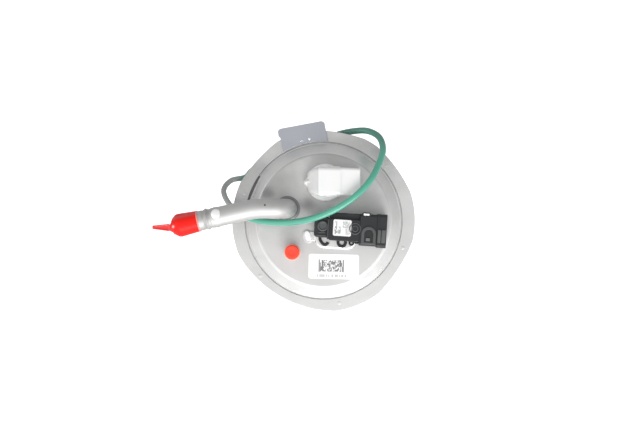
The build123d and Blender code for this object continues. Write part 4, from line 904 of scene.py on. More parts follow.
# painted highlight: the oval pad in the near-white pad material
s.add(prism_bm(oval(2.8, 4.3), PLAT_Z + 0.6, PLAT_Z + 2.2, bev=1.2, seg=6), T(-12.9, -12.4) @ RZ(16), mat=1)
s.add(box_bm(-12.5, -5.0, -16.5, -9.0, PLAT_Z - 0.1, PLAT_Z + 1.4, 0.4))
s.done("cover", "sensor_bracket", slot="bracket_steel")


def dshape(cx, cy, r, yb, n=20):
    return [(cx + r, yb)] + [(cx + r * math.cos(math.pi * i / n), cy + r * math.sin(math.pi * i / n)) for i in range(n + 1)] + [(cx - r, yb)]


def yz_prism(pts, x0, x1, bev=0.4):
    """Prism along X from a (y, z) outline."""
    bm = prism_bm(pts, x0, x1, bev=bev)
    bm.transform(Matrix(((0, 0, 1, 0), (1, 0, 0, 0), (0, 1, 0, 0), (0, 0, 0, 1))))
    bmesh.ops.recalc_face_normals(bm, faces=bm.faces)
    return bm


# mat 1 is the lighter black copy: painted highlight on the sensor's raised details, rib, arch and collar pads
s = Shape("pressure_sensor_body", M["black"], M["black_lit"], M["lock_white"])
s.add(box_bm(-28.6, -16.0, -8.4, 8.6, SB, SB + 12.5, 0.9, r=2.8), SR)
s.add(box_bm(-17.9, -16.2, -9.6, 7.0, SB, SB + 15.0, 0.5), SR, mat=1)
s.add(prism_bm(rrect(-16.4, 8.6, -10.2, 7.4, 1.2), SB, SB + 19.5, bev=0.7), SR)
s.add(prism_bm(rrect(-16.4, 8.6, 5.0, 12.4, 1.2), SB, SB + 16.2, bev=0.7), SR)
s.add(x_prism(8.0, 15.4, -13.0, 12.6, SB + 0.6, SB + 20.3, 2.4, 0.7), SR)
s.add(x_prism(14.4, 29.0, -13.0, 12.6, SB + 0.6, SB + 20.3, 2.4, 0.3, hole=(-10.0, 10.0, SB + 3.4, SB + 17.6), hr=1.6), SR)
s.add(x_prism(21.8, 29.6, -13.9, 13.2, SB + 0.1, SB + 21.1, 2.6, 0.5, hole=(-10.0, 10.0, SB + 3.4, SB + 17.6), hr=1.6), SR)
# raised round with a dished middle, and a short bar under it, on the left block
s.add(lathe_bm(prof([(0, SB + 12.3), (4.3, SB + 12.3), (4.3, SB + 14.1), (3.3, SB + 14.3), (2.7, SB + 13.5), (0, SB + 13.3)], [0, 0, 0.5, 0.3, 0.3, 0], n=5), seg=44), SR @ T(-21.7, 0.8), mat=1)
s.add(box_bm(-24.9, -19.4, -4.9, -4.1, SB + 12.2, SB + 13.3, 0.25), SR, mat=1)
s.add(box_bm(-26.6, -18.6, -7.2, -6.5, SB + 12.2, SB + 13.0, 0.2), SR, mat=1)
# concentric rings of the pressure port, partly under the label
for ro, ri, zt in ((4.75, 4.0, 20.35), (2.6, 1.9, 20.1)):
    s.add(lathe_bm(prof([(ri, SB + 19.3), (ro, SB + 19.3), (ro, SB + zt), (ri, SB + zt)], [0, 0, 0.25, 0.25], n=3), seg=48, closed=True), SR @ T(4.3, 0.3), mat=1)
# arch on the connector, with a small ramp inside it
s.add(prism_bm(dshape(15.4, -3.2, 5.9, -11.6), SB + 19.9, SB + 21.25, hole=dshape(15.4, -3.2, 3.5, -9.9), bev=0.3), SR, mat=1)
s.add(yz_prism([(-9.2, SB + 20.0), (-6.4, SB + 20.0), (-6.4, SB + 21.1), (-9.2, SB + 20.5)], 13.2, 16.6, 0.2), SR, mat=1)
# sloped pads on the collar's lower half, with a line between them
for xa, xb in ((22.5, 25.1), (25.6, 29.0)):
    s.add(yz_prism([(-13.6, SB + 18.8), (0.9, SB + 20.6), (0.9, SB + 22.0), (-0.2, SB + 22.2), (-11.6, SB + 20.9), (-13.6, SB + 20.0)], xa, xb, 0.3), SR, mat=1)
s.add(x_prism(22.2, 23.0, 1.6, 12.0, SB + 20.6, SB + 21.7, 0.3, 0.15), SR)
# latch bar with its light lock tab
s.add(prism_bm([(9.4, 11.6), (16.2, 11.6), (16.2, 13.0), (15.2, 13.9), (10.4, 13.9), (9.4, 13.0)], SB + 12.0, SB + 19.6, bev=0.35), SR)
s.add(box_bm(10.3, 15.1, 11.5, 13.1, SB + 18.6, SB + 20.9, 0.4), SR, mat=2)
# wire hooks along the lower edge
for hp in ([(-23.6, -8.0), (-23.0, -11.0), (-21.2, -13.2), (-19.2, -14.3), (-17.2, -13.4), (-16.6, -12.2)],
           [(-8.6, -10.0), (-8.3, -12.6), (-7.2, -14.2), (-5.2, -14.9), (-3.2, -14.0), (-2.4, -12.0), (-2.5, -9.8)]):
    s.add(sweep_bm(resample(spline([(q[0], q[1], SB + 2.3) for q in hp], 8), 0.5), rrect(-1.2, 1.2, -2.1, 2.1, 0.5, 3), up=(1, 0, 0)), SR)
s.add(lathe_bm(prof([(0.95, SB), (2.3, SB), (2.3, SB + 4.5), (0.95, SB + 4.5)], [0.1, 0.1, 0.4, 0.3], n=3), seg=32, closed=True), SR @ T(2.4, -11.7))
s.add(box_bm(5.0, 8.6, -12.0, -9.0, SB, SB + 6.0, 0.5), SR)
s.done("cover", "pressure_sensor", slot="nylon_black")

s = Shape("sensor_label_skin", M["label_s"])
s.add(prism_bm(rrect(-13.4, 1.2, -6.2, 6.9, 1.3), SB + 19.45, SB + 19.68, bev=0.05), SR)
s.done("cover", "sensor_label", slot="label_white")
s = Shape("id_label_skin", M["label_m"])
s.add(prism_bm(rrect(-20.6, 20.6, -10.2, 10.2, 2.0), PLAT_Z - 0.05, PLAT_Z + 0.18, bev=0.05), T(8.3, -37.6) @ RZ(-1.2))
s.done("cover", "id_label", slot="label_white")

# ------------------------------------------------------------------ tank seal
seal_pts = [
    (-65.2, 35.9, -10.0), (-76.6, 33.1, -5.0), (-82.3, 24.7, 1.0), (-77.2, 13.5, 6.5), (-66.7, 4.9, 10.5),
    (-53.4, 0.2, 14.5), (-38.5, -1.4, 18.5), (-23.2, -1.1, 23.5), (-6.5, 2.5, 29.0), (10.3, 9.6, 33.8),
    (25.4, 19.7, 36.6), (37.2, 32.2, 33.8), (45.0, 46.7, 24.0), (48.4, 58.3, 13.5), (45.9, 68.4, 3.0),
    (37.4, 74.0, -5.0), (27.0, 74.6, -10.5),
]
ex, ey, nx, ny = -0.923, -0.387, -0.387, 0.923
for q, z, d in ((2.0, -16.5, 61.5), (9.0, -29.0, 61.8), (12.5, -46.0, 62.2), (17.5, -64.0, 62.6), (29.0, -77.0, 62.8),
                (44.0, -81.5, 62.8), (59.0, -77.5, 62.6), (69.5, -64.0, 62.2), (74.0, -46.0, 61.8), (77.5, -29.5, 61.5),
                (82.5, -17.0, 61.5)):
    bx, by = 17.1 + ex * q, 70.4 + ey * q
    cur = bx * nx + by * ny
    seal_pts.append((bx + nx * (d - cur), by + ny * (d - cur), z))
seal_pts = [(x, y, TOP_Z + z) for x, y, z in seal_pts]
path = resample(spline(seal_pts, 24, closed=True), 1.0, closed=True)


def seal_scale(p):
    # a little thinner where it hangs free on the left
    k = max(0.0, min(1.0, (-58.0 - p.x) / 14.0))
    return 1.0 - 0.16 * k


def seal_bm():
    n = len(path)
    Tn = [(path[(i + 1) % n] - path[i - 1]).normalized() for i in range(n)]
    bm = bmesh.new()
    rings = []
    for i in range(n):
        up = V3((0, 0, 1))
        side = up.cross(Tn[i])
        if side.length < 0.25:
            side = V3((0.923, 0.387, 0))
        side.normalize()
        w = Tn[i].cross(side).normalized()
        k = seal_scale(path[i])
        row = []
        for j in range(28):
            a = 2 * math.pi * j / 28
            c, q = math.cos(a), math.sin(a)
            row.append(bm.verts.new(path[i] + side * (2.62 * k * math.copysign(abs(c) ** 0.9, c)) + w * (2.5 * k * math.copysign(abs(q) ** 0.9, q))))
        rings.append(row)
    for i in range(n):
        a, b = rings[i], rings[(i + 1) % n]
        best, off = 1e9, 0
        for o in range(28):
            d = sum((a[j].co - b[(j + o) % 28].co).length for j in (0, 7, 14, 21))
            if d < best:
                best, off = d, o
        for j in range(28):
            bm.faces.new((a[j], a[(j + 1) % 28], b[(j + 1 + off) % 28], b[(j + off) % 28]))
    bmesh.ops.recalc_face_normals(bm, faces=bm.faces)
    return bm


s = Shape("tank_seal_ring", M["seal"])
s.add(seal_bm())
s.done("cover", "tank_seal", slot="seal_green", weighted=False, sharp=80)

# ------------------------------------------------------------------ springs, rods, hose and leads between cover and reservoir
for k, a in enumerate(ROD_ANGLES):
    x, y = polar(43.0, a)
    z0, z1 = 132.75, 214.65
    turns = 9.0
    n = int(turns * 40)
    hp = []
    for i in range(n + 1):
        f = i / n
        t = 2 * math.pi * turns * f
        hp.append((x + 6.6 * math.cos(t), y + 6.6 * math.sin(t), z0 + (z1 - z0) * f))
    s = Shape("lift_spring_%d" % (k + 1), M["spring"])
    s.add(sweep_bm(hp, circle(0.7, 12)))
    ob = s.done("cover", "lift_springs", slot="spring_steel", weighted=False)
    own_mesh(ob)


def coil_bm(x, y, r, wire, z0, z1, turns):
    n = int(turns * 36)
    a, b = z0 + wire / 2, z1 - wire / 2
    pts_ = [(x + r * math.cos(2 * math.pi * turns * i / n), y + r * math.sin(2 * math.pi * turns * i / n), a + (b - a) * i / n) for i in range(n + 1)]
    return sweep_bm(pts_, circle(wire / 2, 10))


for nm, node, joint, args, keep in (
        ("check_valve_coil", "check_valve_spring", "check_valve_lift", (PUMP_X - 4.6, PUMP_Y - 4.6, 2.3, 0.5, 103.65, 110.4, 5), 0.703),
        ("regulator_coil", "regulator_spring", "regulator_lift", (26.5, -23.5, 5.6, 1.0, 140.65, 151.9, 4), 0.866)):
    s = Shape(nm, M["spring"])
    s.add(coil_bm(*args))
    ob = s.done("reservoir", node, slot="spring_steel", weighted=False)
    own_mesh(ob)

s = Shape("guide_rods_steel", M["rod"])
for a in ROD_ANGLES:
    x, y = polar(43.0, a)
    s.add(lathe_bm(prof([(3.0, 96.5), (4.0, 96.5), (4.0, 98.6), (3.5, 98.6), (3.5, 99.9), (4.0, 99.9), (4.0, 215.3), (8.6, 215.4), (8.6, 216.95), (3.0, 216.95)], [0.2, 0.4, 0, 0, 0, 0, 0.3, 0.3, 0.2, 0]), seg=44, closed=True), T(x, y))
s.done("cover", "guide_rods", slot="rod_steel")


def arc_path(pts, step):
    """Polyline with arcs whose tangent length is 0.45 of the shorter run beside each corner."""
    P = [V3(p) for p in pts]
    rr = [0.0]
    for i in range(1, len(P) - 1):
        u, v = P[i] - P[i - 1], P[i + 1] - P[i]
        turn = u.angle(v)
        rr.append(0.45 * min(u.length, v.length) / math.tan(turn / 2) if turn > 1e-3 else 0.0)
    rr.append(0.0)
    return resample(round_poly(pts, rr, n=24, closed=False), step)


HX, HY = PUMP_X - 4.6, PUMP_Y - 4.6
hp = arc_path([(HX, HY, 135.7), (HX, HY, 154.0), (-11.5, -11.0, 165.0), (-21.5, -21.5, 181.0), (FEED_X, FEED_Y, 192.0), (FEED_X, FEED_Y, 205.5)], 0.32)
hlen = sum((b - a).length for a, b in zip(hp, hp[1:]))


def hose_scale(t):
    q = t * hlen
    if q < 9.0 or q > hlen - 11.0:
        return 1.0
    ph = (q - 9.0) / 2.6
    return (6.35 + 0.85 * math.cos(2 * math.pi * ph)) / 7.2


s = Shape("feed_hose_convoluted", M["hose"])
s.add(sweep_bm(hp, circle(7.2, 32), scale=hose_scale, caps=False))
inner = sweep_bm(hp, circle(5.47, 32), caps=False)
bmesh.ops.reverse_faces(inner, faces=inner.faces)
s.add(inner)
for q0, q1 in ((hp[0], hp[1]), (hp[-1], hp[-2])):
    d = (q1 - q0).normalized()
    s.add(lathe_bm([(5.47, 0.01), (7.2, 0.01), (7.2, 0.3), (5.47, 0.3)], seg=32, closed=True), axis_matrix(q0, d))
    s.add(lathe_bm(prof([(7.1, 3.2), (7.75, 3.2), (7.75, 6.2), (7.1, 6.2)], [0, 0.25, 0.25, 0], n=3), seg=40, closed=True), axis_matrix(q0, d))
ob = s.done("cover", "feed_hose", slot="hose_black", sharp=50, weighted=False)
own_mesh(ob)

s = Shape("wiring_leads_four", M["wire_red"], M["wire_black"], M["wire_yellow"], M["wire_grey"])
for k, (px, tx) in enumerate(((-4.5, 5.0), (-1.5, 9.0), (1.5, 13.0), (4.5, 17.0))):
    wp = arc_path([(CX + px, CY, 197.9), (CX + px, CY, 188.0), (CX + px * 0.9 + 5.0 + k, CY + 3.0 - k * 1.6, 172.0),
                   (tx + 1.0, 30.0 - k * 0.8, 152.0), (tx, 29.0, 143.0), (tx, 29.0, 135.05)], 0.8)
    s.add(sweep_bm(wp, circle(0.95, 16)), mat=k)
ob = s.done("cover", "wiring_leads", slot="wire", weighted=False, sharp=60)
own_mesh(ob)


# ------------------------------------------------------------------ reservoir cup
def mesh_of(bm, name):
    me = bpy.data.meshes.new(name)
    bm.to_mesh(me)
    bm.free()
    ob = bpy.data.objects.new(name, me)
    bpy.context.scene.collection.objects.link(ob)
    return ob


def cut(bm, *tools, op="DIFFERENCE"):
    """Boolean of closed shells, done at once so that the result is a plain mesh."""
    a = mesh_of(bm, "cut_a")
    bs = [mesh_of(t, "cut_b") for t in tools]
    for t in bs:
        md = a.modifiers.new("cut", "BOOLEAN")
        md.object = t
        md.operation = op
        md.solver = "EXACT"
    bpy.context.view_layer.update()
    dg = bpy.context.evaluated_depsgraph_get()
    me = bpy.data.meshes.new_from_object(a.evaluated_get(dg))
    out = bmesh.new()
    out.from_mesh(me)
    for o in [a] + bs:
        m = o.data
        bpy.data.objects.remove(o)
        bpy.data.meshes.remove(m)
    bpy.data.meshes.remove(me)
    return out


def cyl_bm(r, z0, z1, x=0.0, y=0.0, seg=40, bev=0.0):
    pts = [(0, z0), (r, z0), (r, z1), (0, z1)]
    bm = lathe_bm(prof(pts, [0, bev, bev, 0]) if bev else pts, seg=seg)
    bm.transform(T(x, y))
    return bm


def moved(bm, m):
    bm.transform(m)
    return bm


s = Shape("reservoir_cup_body", M["acetal"])
wall = lathe_bm(prof([(CUP_R - 2.2, 6.3), (CUP_R - 2.2, 120.0), (CUP_R, 120.0), (CUP_R, 4.0), (CUP_R - 2.6, 4.0), (CUP_R - 2.6, 4.3), (15.0, 4.3), (15.0, 6.3)],
                     [1.6, 0.4, 0.4, 1.6, 0, 0, 0, 0], n=6), seg=180, closed=True)
wins = [moved(box_bm(40, 60, -6, 6, 106.0, 113.0, 0, r=0), RZ(a)) for a in (40, 90, 200)]
s.add(cut(wall, *wins))
floor_bm = lathe_bm([(0, 4.02), (15.4, 4.02), (15.4, 6.38), (0, 6.38)], seg=64)
s.add(floor_bm)
s.add(cyl_bm(14.0, 0.0, 4.1, seg=72, bev=0.6))
for k in range(6):
    o = []
    for i in range(9):
        a = math.radians(30 + 60 * k - 13.2 + 26.4 * i / 8)
        o.append((49.5 * math.cos(a), 49.5 * math.sin(a)))
    for i in range(9):
        a = math.radians(30 + 60 * k + 14.8 - 29.6 * i / 8)
        o.append((42.5 * math.cos(a), 42.5 * math.sin(a)))
    s.add(prism_bm(o, 0.0, 4.1, bev=0.5))
for k in range(12):
    s.add(prism_bm([(52.4, -1.4), (53.3, -1.1), (53.9, -0.6), (53.9, 0.6), (53.3, 1.1), (52.4, 1.4)], 8.0, 96.0, bev=0.25), RZ(15 + 30 * k))
s.add(lathe_bm(prof([(52.6, 97.6), (53.9, 98.0), (53.9, 101.0), (52.6, 101.4)], [0, 0.6, 0.6, 0], n=4), seg=180, closed=True))
s.add(prism_bm([(-17.0, -49.9), (-17.0, -54.6), (17.0, -54.6), (17.0, -49.9), (9.0, -52.0), (0, -52.6), (-9.0, -52.0)], 60.0, 117.0, bev=0.5))
s.done("reservoir", "reservoir_cup", slot="acetal_white", sharp=35)

# ------------------------------------------------------------------ lid
BOSS = [polar(43.0, a) for a in ROD_ANGLES]
REGX, REGY = 26.5, -23.5
s = Shape("reservoir_lid_body", M["acetal"])
lidp = lathe_bm(prof([(0, 120.02), (54.0, 120.02), (54.0, 118.0), (53.1, 118.0), (53.1, 111.0), (55.5, 111.0), (55.5, 126.0), (0, 126.0)], [0, 0.2, 0.2, 0.2, 0.4, 0.5, 1.6, 0], n=6), seg=180)
tools = [cyl_bm(14.2, 100, 140, PUMP_X, PUMP_Y, 64), cyl_bm(11.05, 100, 140, REGX, REGY, 56),
         lathe_bm([(23.5, 123.8), (36.0, 123.8), (36.0, 130), (23.5, 130)], seg=120, closed=True)]
tools[2].transform(T(PUMP_X, PUMP_Y))
tools += [cyl_bm(5.45, 90, 140, x, y, 40) for x, y in BOSS]
tools += [moved(box_bm(52.0, 60.0, -4.0, 4.0, 113.0, 116.5, 0), RZ(a)) for a in (60, 180, 300)]
tools.append(box_bm(-19.0, 19.0, -60.0, -53.02, 100.0, 119.0, 0))
s.add(cut(lidp, *tools))
s.add(lathe_bm([(48.8, 114.0), (50.6, 114.0), (50.6, 120.3), (48.8, 120.3)], seg=120, closed=True))
for x, y in BOSS:
    s.add(lathe_bm(prof([(5.45, 100.5), (7.6, 100.5), (7.6, 125.6), (8.3, 126.1), (7.6, 126.7), (7.6, 132.0), (5.45, 132.0)], [0.2, 0.4, 0.1, 0.1, 0.3, 0.6, 0.3], n=4), seg=56, closed=True), T(x, y))
s.add(lathe_bm(prof([(14.2, 120.2), (17.5, 120.2), (17.5, 127.2), (14.2, 127.2)], [0, 0, 0.6, 0.3], n=4), seg=72, closed=True), T(PUMP_X, PUMP_Y))
regcol = lathe_bm(prof([(11.05, 120.1), (13.6, 120.1), (13.6, 136.9), (11.05, 136.9)], [0, 0, 0.8, 0.4], n=5), seg=72, closed=True)
regcol.transform(T(REGX, REGY))
TEE = V3((REGX - HX, REGY - HY, 0))
hole = cyl_bm(2.75, 0, TEE.length, seg=32)
hole.transform(axis_matrix((HX, HY, 131.5), TEE))
s.add(cut(regcol, hole))
slv = lathe_bm([(23.7, 34.0), (25.6, 34.0), (25.6, 121.0), (23.7, 121.0)], seg=96, closed=True)
slv.transform(T(PUMP_X, PUMP_Y))
s.add(cut(slv, *[moved(box_bm(17, 31, -11, 11, 44, 96, 0), T(PUMP_X, PUMP_Y) @ RZ(a)) for a in (15, 135, 255)]))
for a in (20, 100, 150, 200, 275, 335):
    s.add(prism_bm([(38.0, -0.8), (52.6, -0.8), (52.6, 0.8), (38.0, 0.8)], 125.6, 127.0, bev=0.35), RZ(a))
s.done("reservoir", "reservoir_lid", slot="acetal_white", sharp=35)

s = Shape("guide_bushings_three", M["acetal_black"])
for x, y in BOSS:
    s.add(lathe_bm(prof([(4.06, 100.5), (5.4, 100.5), (5.4, 132.0), (4.06, 132.0)], [0.15, 0.15, 0.15, 0.3], n=3), seg=40, closed=True), T(x, y))
s.done("reservoir", "guide_bushings", slot="acetal_black")

# ------------------------------------------------------------------ vent valve
s = Shape("vent_valve_housing_body", M["acetal"])
vh = lathe_bm(prof([(13.9, 178.0), (15.5, 178.0), (15.5, 208.0), (11.5, 211.5), (11.5, 216.9), (8.04, 216.9), (8.04, 206.0), (13.9, 206.0)], [0.2, 0.4, 1.2, 1.2, 0.3, 0.2, 0, 0.4], n=5), seg=96, closed=True)
vh.transform(T(PIPE_X, PIPE_Y))
s.add(cut(vh, *[moved(box_bm(10.5, 18.5, -2.5, 2.5, 187.5, 196.5, 0), T(PIPE_X, PIPE_Y) @ RZ(45 + 90 * k)) for k in range(4)]))
s.add(lathe_bm([(3.2, 203.0), (13.95, 203.0), (13.95, 205.0), (3.2, 205.0)], seg=64, closed=True), T(PIPE_X, PIPE_Y))
for k in range(8):
    s.add(prism_bm([(15.2, -0.6), (16.0, -0.45), (16.0, 0.45), (15.2, 0.6)], 197.5, 206.5, bev=0.2), T(PIPE_X, PIPE_Y) @ RZ(22.5 + 45 * k))
s.done("cover", "vent_valve_housing", slot="acetal_white", sharp=35)
s = Shape("vent_valve_base_body", M["acetal"])
vb = lathe_bm(prof([(0, 175.0), (15.5, 175.0), (15.5, 177.9), (13.8, 177.9), (13.8, 179.5), (0, 179.5)], [0, 0.5, 0.3, 0, 0.3, 0], n=4), seg=80)
vb.transform(T(PIPE_X, PIPE_Y))
s.add(cut(vb, *[cyl_bm(2.2, 170, 185, PIPE_X + polar(9.2, 90 * k)[0], PIPE_Y + polar(9.2, 90 * k)[1], 28) for k in range(4)]))
s.add(lathe_bm([(5.2, 179.4), (6.6, 179.4), (6.6, 182.8), (5.2, 182.8)], seg=48, closed=True), T(PIPE_X, PIPE_Y))
s.done("cover", "vent_valve_base", slot="acetal_white", sharp=35)

# ------------------------------------------------------------------ harness plug and lid connector
s = Shape("harness_plug_body", M["black"])
s.add(box_bm(CX - 7.3, CX + 7.3, CY - 4.8, CY + 4.8, 198.0, 203.6, 0.6, r=1.0))
for k in range(3):
    s.add(box_bm(CX - 6.2 + 4.3 * k, CX - 2.4 + 4.3 * k, CY - 5.25, CY - 4.6, 198.8, 202.8, 0.2))
s.add(box_bm(CX - 2.2, CX + 2.2, CY + 4.4, CY + 5.4, 198.4, 203.2, 0.35))
for px in (-4.5, -1.5, 1.5, 4.5):
    s.add(lathe_bm([(1.0, 197.0), (1.25, 197.0), (1.25, 198.2), (1.0, 198.2)], seg=20, closed=True), T(CX + px, CY))
s.add(box_bm(CX - 6.0, CX + 6.0, CY - 3.6, CY + 3.6, 203.4, 208.6, 0.4))
s.done("cover", "harness_plug", slot="nylon_black")
s = Shape("lid_connector_body", M["black"])
s.add(box_bm(2.0, 20.0, 24.0, 34.0, 126.0, 133.4, 0.7, r=1.5))
s.add(box_bm(3.0, 19.0, 25.4, 32.6, 133.0, 135.0, 0.4, r=1.0))
s.add(box_bm(7.4, 14.6, 33.6, 34.7, 127.5, 132.0, 0.35))
s.done("reservoir", "lid_connector", slot="nylon_black")

s = Shape("reservoir_leads_set", M["wire_black"], M["wire_grey"], M["wire_red"])
for k, xx in enumerate((-5.0, -2.6)):
    e = 2.4 * k
    lp = [(xx, -55.9, 117.6), (xx, -57.6, 122.0), (xx - 0.5, -57.2, 129.5), (xx - 1.0, -47.0, 130.5), (-7.0 + e, -34.0, 127.2),
          (-25.5 + e, -17.0 + 0.6 * e, 127.2), (-30.0 + e, 6.0, 127.2), (-17.0 + 0.4 * e, 25.5 - e, 127.2), (-6.0, 28.8 - 0.8 * e, 129.0), (1.95, 28.8 - 0.8 * e, 129.0)]
    s.add(sweep_bm(arc_path(lp, 0.6), circle(0.85, 14)), mat=k)
for k, yy in enumerate((-8.0, 2.0)):
    lp = [(PUMP_X + 10.0, yy, 124.05), (PUMP_X + 10.0, yy, 133.0), (PUMP_X + 11.0 + 2 * k, 10.0 + 2 * k, 135.0), (8.0 + 4.0 * k, 21.0, 131.0), (8.0 + 4.0 * k, 23.95, 131.0)]
    s.add(sweep_bm(arc_path(lp, 0.6), circle(1.0, 14)), mat=(2, 0)[k])
s.done("reservoir", "reservoir_leads", slot="wire", weighted=False, sharp=60)

# ------------------------------------------------------------------ outlet tee and regulator
s = Shape("outlet_tee_body", M["acetal_black"])
s.add(lathe_bm(prof([(4.05, 117.0), (6.3, 117.0), (6.3, 135.5), (4.6, 135.5), (4.6, 136.9), (5.2, 137.0), (4.5, 138.6), (4.6, 138.8), (5.1, 138.9), (4.3, 140.5), (2.7, 140.5), (2.7, 134.2), (4.05, 134.2)],
                    [0, 0.5, 0.6, 0.3, 0, 0, 0, 0, 0, 0.3, 0.2, 0, 0], n=4), seg=48, closed=True), T(HX, HY))
for r0, r1, ln in ((4.1, 1.7, TEE.length - 16.5), (2.7, 1.7, TEE.length - 11.4)):
    a0 = 5.9
    s.add(lathe_bm(prof([(r1, a0), (r0, a0), (r0, ln), (r1, ln)], [0, 0, 0.3, 0.1], n=3), seg=36, closed=True), axis_matrix((HX, HY, 131.5), TEE))
s.done("reservoir", "outlet_tee", slot="acetal_black")
RZ0 = 118.0
s = Shape("regulator_can_body", M["shell"])
s.add(lathe_bm(prof([(2.35, RZ0), (11.0, RZ0), (11.0, RZ0 + 19.0), (12.6, RZ0 + 19.0), (12.6, RZ0 + 21.0), (9.9, RZ0 + 21.0), (9.9, RZ0 + 1.2), (2.35, RZ0 + 1.2)], [0, 1.0, 0.5, 0.5, 0.1, 0.1, 0.6, 0], n=5), seg=72, closed=True), T(REGX, REGY))
s.add(lathe_bm([(1.6, RZ0 - 12.0), (2.35, RZ0 - 12.0), (2.35, RZ0 + 1.1), (1.6, RZ0 + 1.1)], seg=32, closed=True), T(REGX, REGY))
s.done("reservoir", "regulator_can", slot="shell_zinc")
s = Shape("regulator_cover_body", M["shell"])
s.add(lathe_bm(prof([(0, RZ0 + 34.95), (5.6, RZ0 + 34.95), (7.5, RZ0 + 35.0), (9.4, RZ0 + 33.0), (9.4, RZ0 + 23.2), (12.6, RZ0 + 23.0), (12.6, RZ0 + 21.05), (8.3, RZ0 + 21.05), (8.3, RZ0 + 32.4), (7.0, RZ0 + 34.0), (0, RZ0 + 34.0)],
                    [0, 0, 0.8, 1.2, 0.9, 0.5, 0.2, 0.2, 0.5, 0.5, 0], n=6), seg=72), T(REGX, REGY))
s.add(lathe_bm([(1.5, RZ0 + 34.9), (1.3, RZ0 + 35.25), (0, RZ0 + 35.3)], seg=24), T(REGX, REGY))
s.done("reservoir", "regulator_cover", slot="shell_zinc")

# ------------------------------------------------------------------ level sender
PZ = 105.0


def y_prism(pts, y0, y1, bev=0.4, hole=None):
    """Prism along Y from an (x, z) outline."""
    bm = prism_bm(pts, y0, y1, hole=hole, bev=bev)
    bm.transform(Matrix(((1, 0, 0, 0), (0, 0, 1, 0), (0, 1, 0, 0), (0, 0, 0, 1))))
    bmesh.ops.recalc_face_normals(bm, faces=bm.faces)
    return bm


def yc(r, y0, y1, x, z, seg=40, bev=0.0, ri=0.0):
    if ri:
        bm = lathe_bm(prof([(ri, y0), (r, y0), (r, y1), (ri, y1)], [bev, bev, bev, bev], n=3) if bev else [(ri, y0), (r, y0), (r, y1), (ri, y1)], seg=seg, closed=True)
    else:
        bm = cyl_bm(r, y0, y1, seg=seg, bev=bev)
    bm.transform(Matrix(((1, 0, 0, x), (0, 0, 1, 0), (0, 1, 0, z), (0, 0, 0, 1))))
    bmesh.ops.recalc_face_normals(bm, faces=bm.faces)
    return bm


s = Shape("sender_housing_body", M["acetal_black"])
plate = y_prism(rrect(-17.0, 17.0, 70.0, 116.0, 3.0, 8), -58.4, -54.65, 0.6)
s.add(cut(plate, box_bm(-15.4, 15.4, -60, -56.6, 80.0, 96.6, 0), yc(2.35, -62, -55, 0.0, PZ, 36)))
s.add(yc(7.5, -59.3, -57.9, 0.0, PZ, 56, 0.3, ri=2.35))
for a, rr in ((-72.0 + 180.0 - 33.2, 9.2), (-72.0 + 90.0 + 27.9, 11.0)):
    qx, qz = polar(rr, a)
    s.add(yc(1.6, -64.2, -58.2, qx, PZ + qz, 28, 0.3))
s.add(box_bm(-8.0, 8.0, -56.6, -54.65, 115.0, 117.0, 0.3))
for x in (-12.5, 12.5):
    s.add(yc(1.7, -58.9, -58.2, x, 74.5, 28, 0.2))
s.done("reservoir", "sender_housing", slot="acetal_black", sharp=35)

s = Shape("resistor_card_body", M["card"], M["carbon"], M["copper"])
s.add(box_bm(-15.2, 15.2, -58.0, -56.65, 80.2, 96.4, 0.15))
for r0, r1, a0, a1, m in ((14.9, 13.1, -160, -20, 1), (19.3, 17.7, -138, -42, 1)):
    o = []
    for i in range(33):
        a = math.radians(a0 + (a1 - a0) * i / 32)
        o.append((r0 * math.cos(a), PZ + r0 * math.sin(a)))
    for i in range(33):
        a = math.radians(a1 + (a0 - a1) * i / 32)
        o.append((r1 * math.cos(a), PZ + r1 * math.sin(a)))
    o = [p for p in o if -15.0 < p[0] < 15.0 and 80.4 < p[1] < 96.2]
    if len(o) > 6:
        s.add(y_prism(o, -58.12, -57.9, 0), mat=m)
s.done("reservoir", "resistor_card", slot="card_ceramic")

ARM = T(0, 0, PZ) @ RY(72.0)
s = Shape("float_arm_wire", M["rod"])
wire = round_poly([(-8.0, -62.6, 0), (50.0, -62.6, 0), (62.0, -56.1, 0), (85.0, -56.1, 0), (85.0, -75.3, 0)], [0, 10.0, 10.0, 3.2, 0], n=16, closed=False)
s.add(sweep_bm(resample(wire, 0.6), circle(1.25, 24)), ARM)
s.add(lathe_bm(prof([(0, -0.45), (2.1, -0.45), (2.1, 0.45), (0, 0.45)], [0, 0.25, 0.25, 0], n=3), seg=32), ARM @ T(85.0, -75.0, 0) @ RX(90))
s.done("float_arm", "float_arm", slot="rod_steel", weighted=False, sharp=50)

s = Shape("float_arm_hub_body", M["acetal"])
hub = yc(7.2, -64.5, -59.7, 0, 0, 56, 0.5)
body = box_bm(-9.5, 12.0, -64.5, -60.2, -3.4, 3.4, 0.6)
hub.transform(T(0, 0, 0))
s.add(hub, ARM)
s.add(body, ARM)
s.add(yc(2.28, -60.4, -56.6, 0, 0, 32, 0.2), ARM)
s.add(yc(3.0, -65.1, -64.3, 0, 0, 32, 0.2), ARM)
for x in (-7.4, 9.6):
    s.add(box_bm(x - 0.9, x + 0.9, -65.2, -64.2, -2.4, 2.4, 0.25), ARM)
s.done("float_arm", "float_arm_hub", slot="acetal_white")

FXC, FZC = 85.0 * math.cos(math.radians(72)), PZ - 85.0 * math.sin(math.radians(72))
s = Shape("float_body", M["foam"])
fb0 = y_prism(rrect(FXC - 21.0, FXC + 21.0, FZC - 12.0, FZC + 6.5, 4.0, 10), -74.3, -59.8, 1.5)
s.add(cut(fb0, yc(1.36, -80, -50, FXC, FZC, 28)))
s.done("float", "float", slot="float_foam", sharp=35)

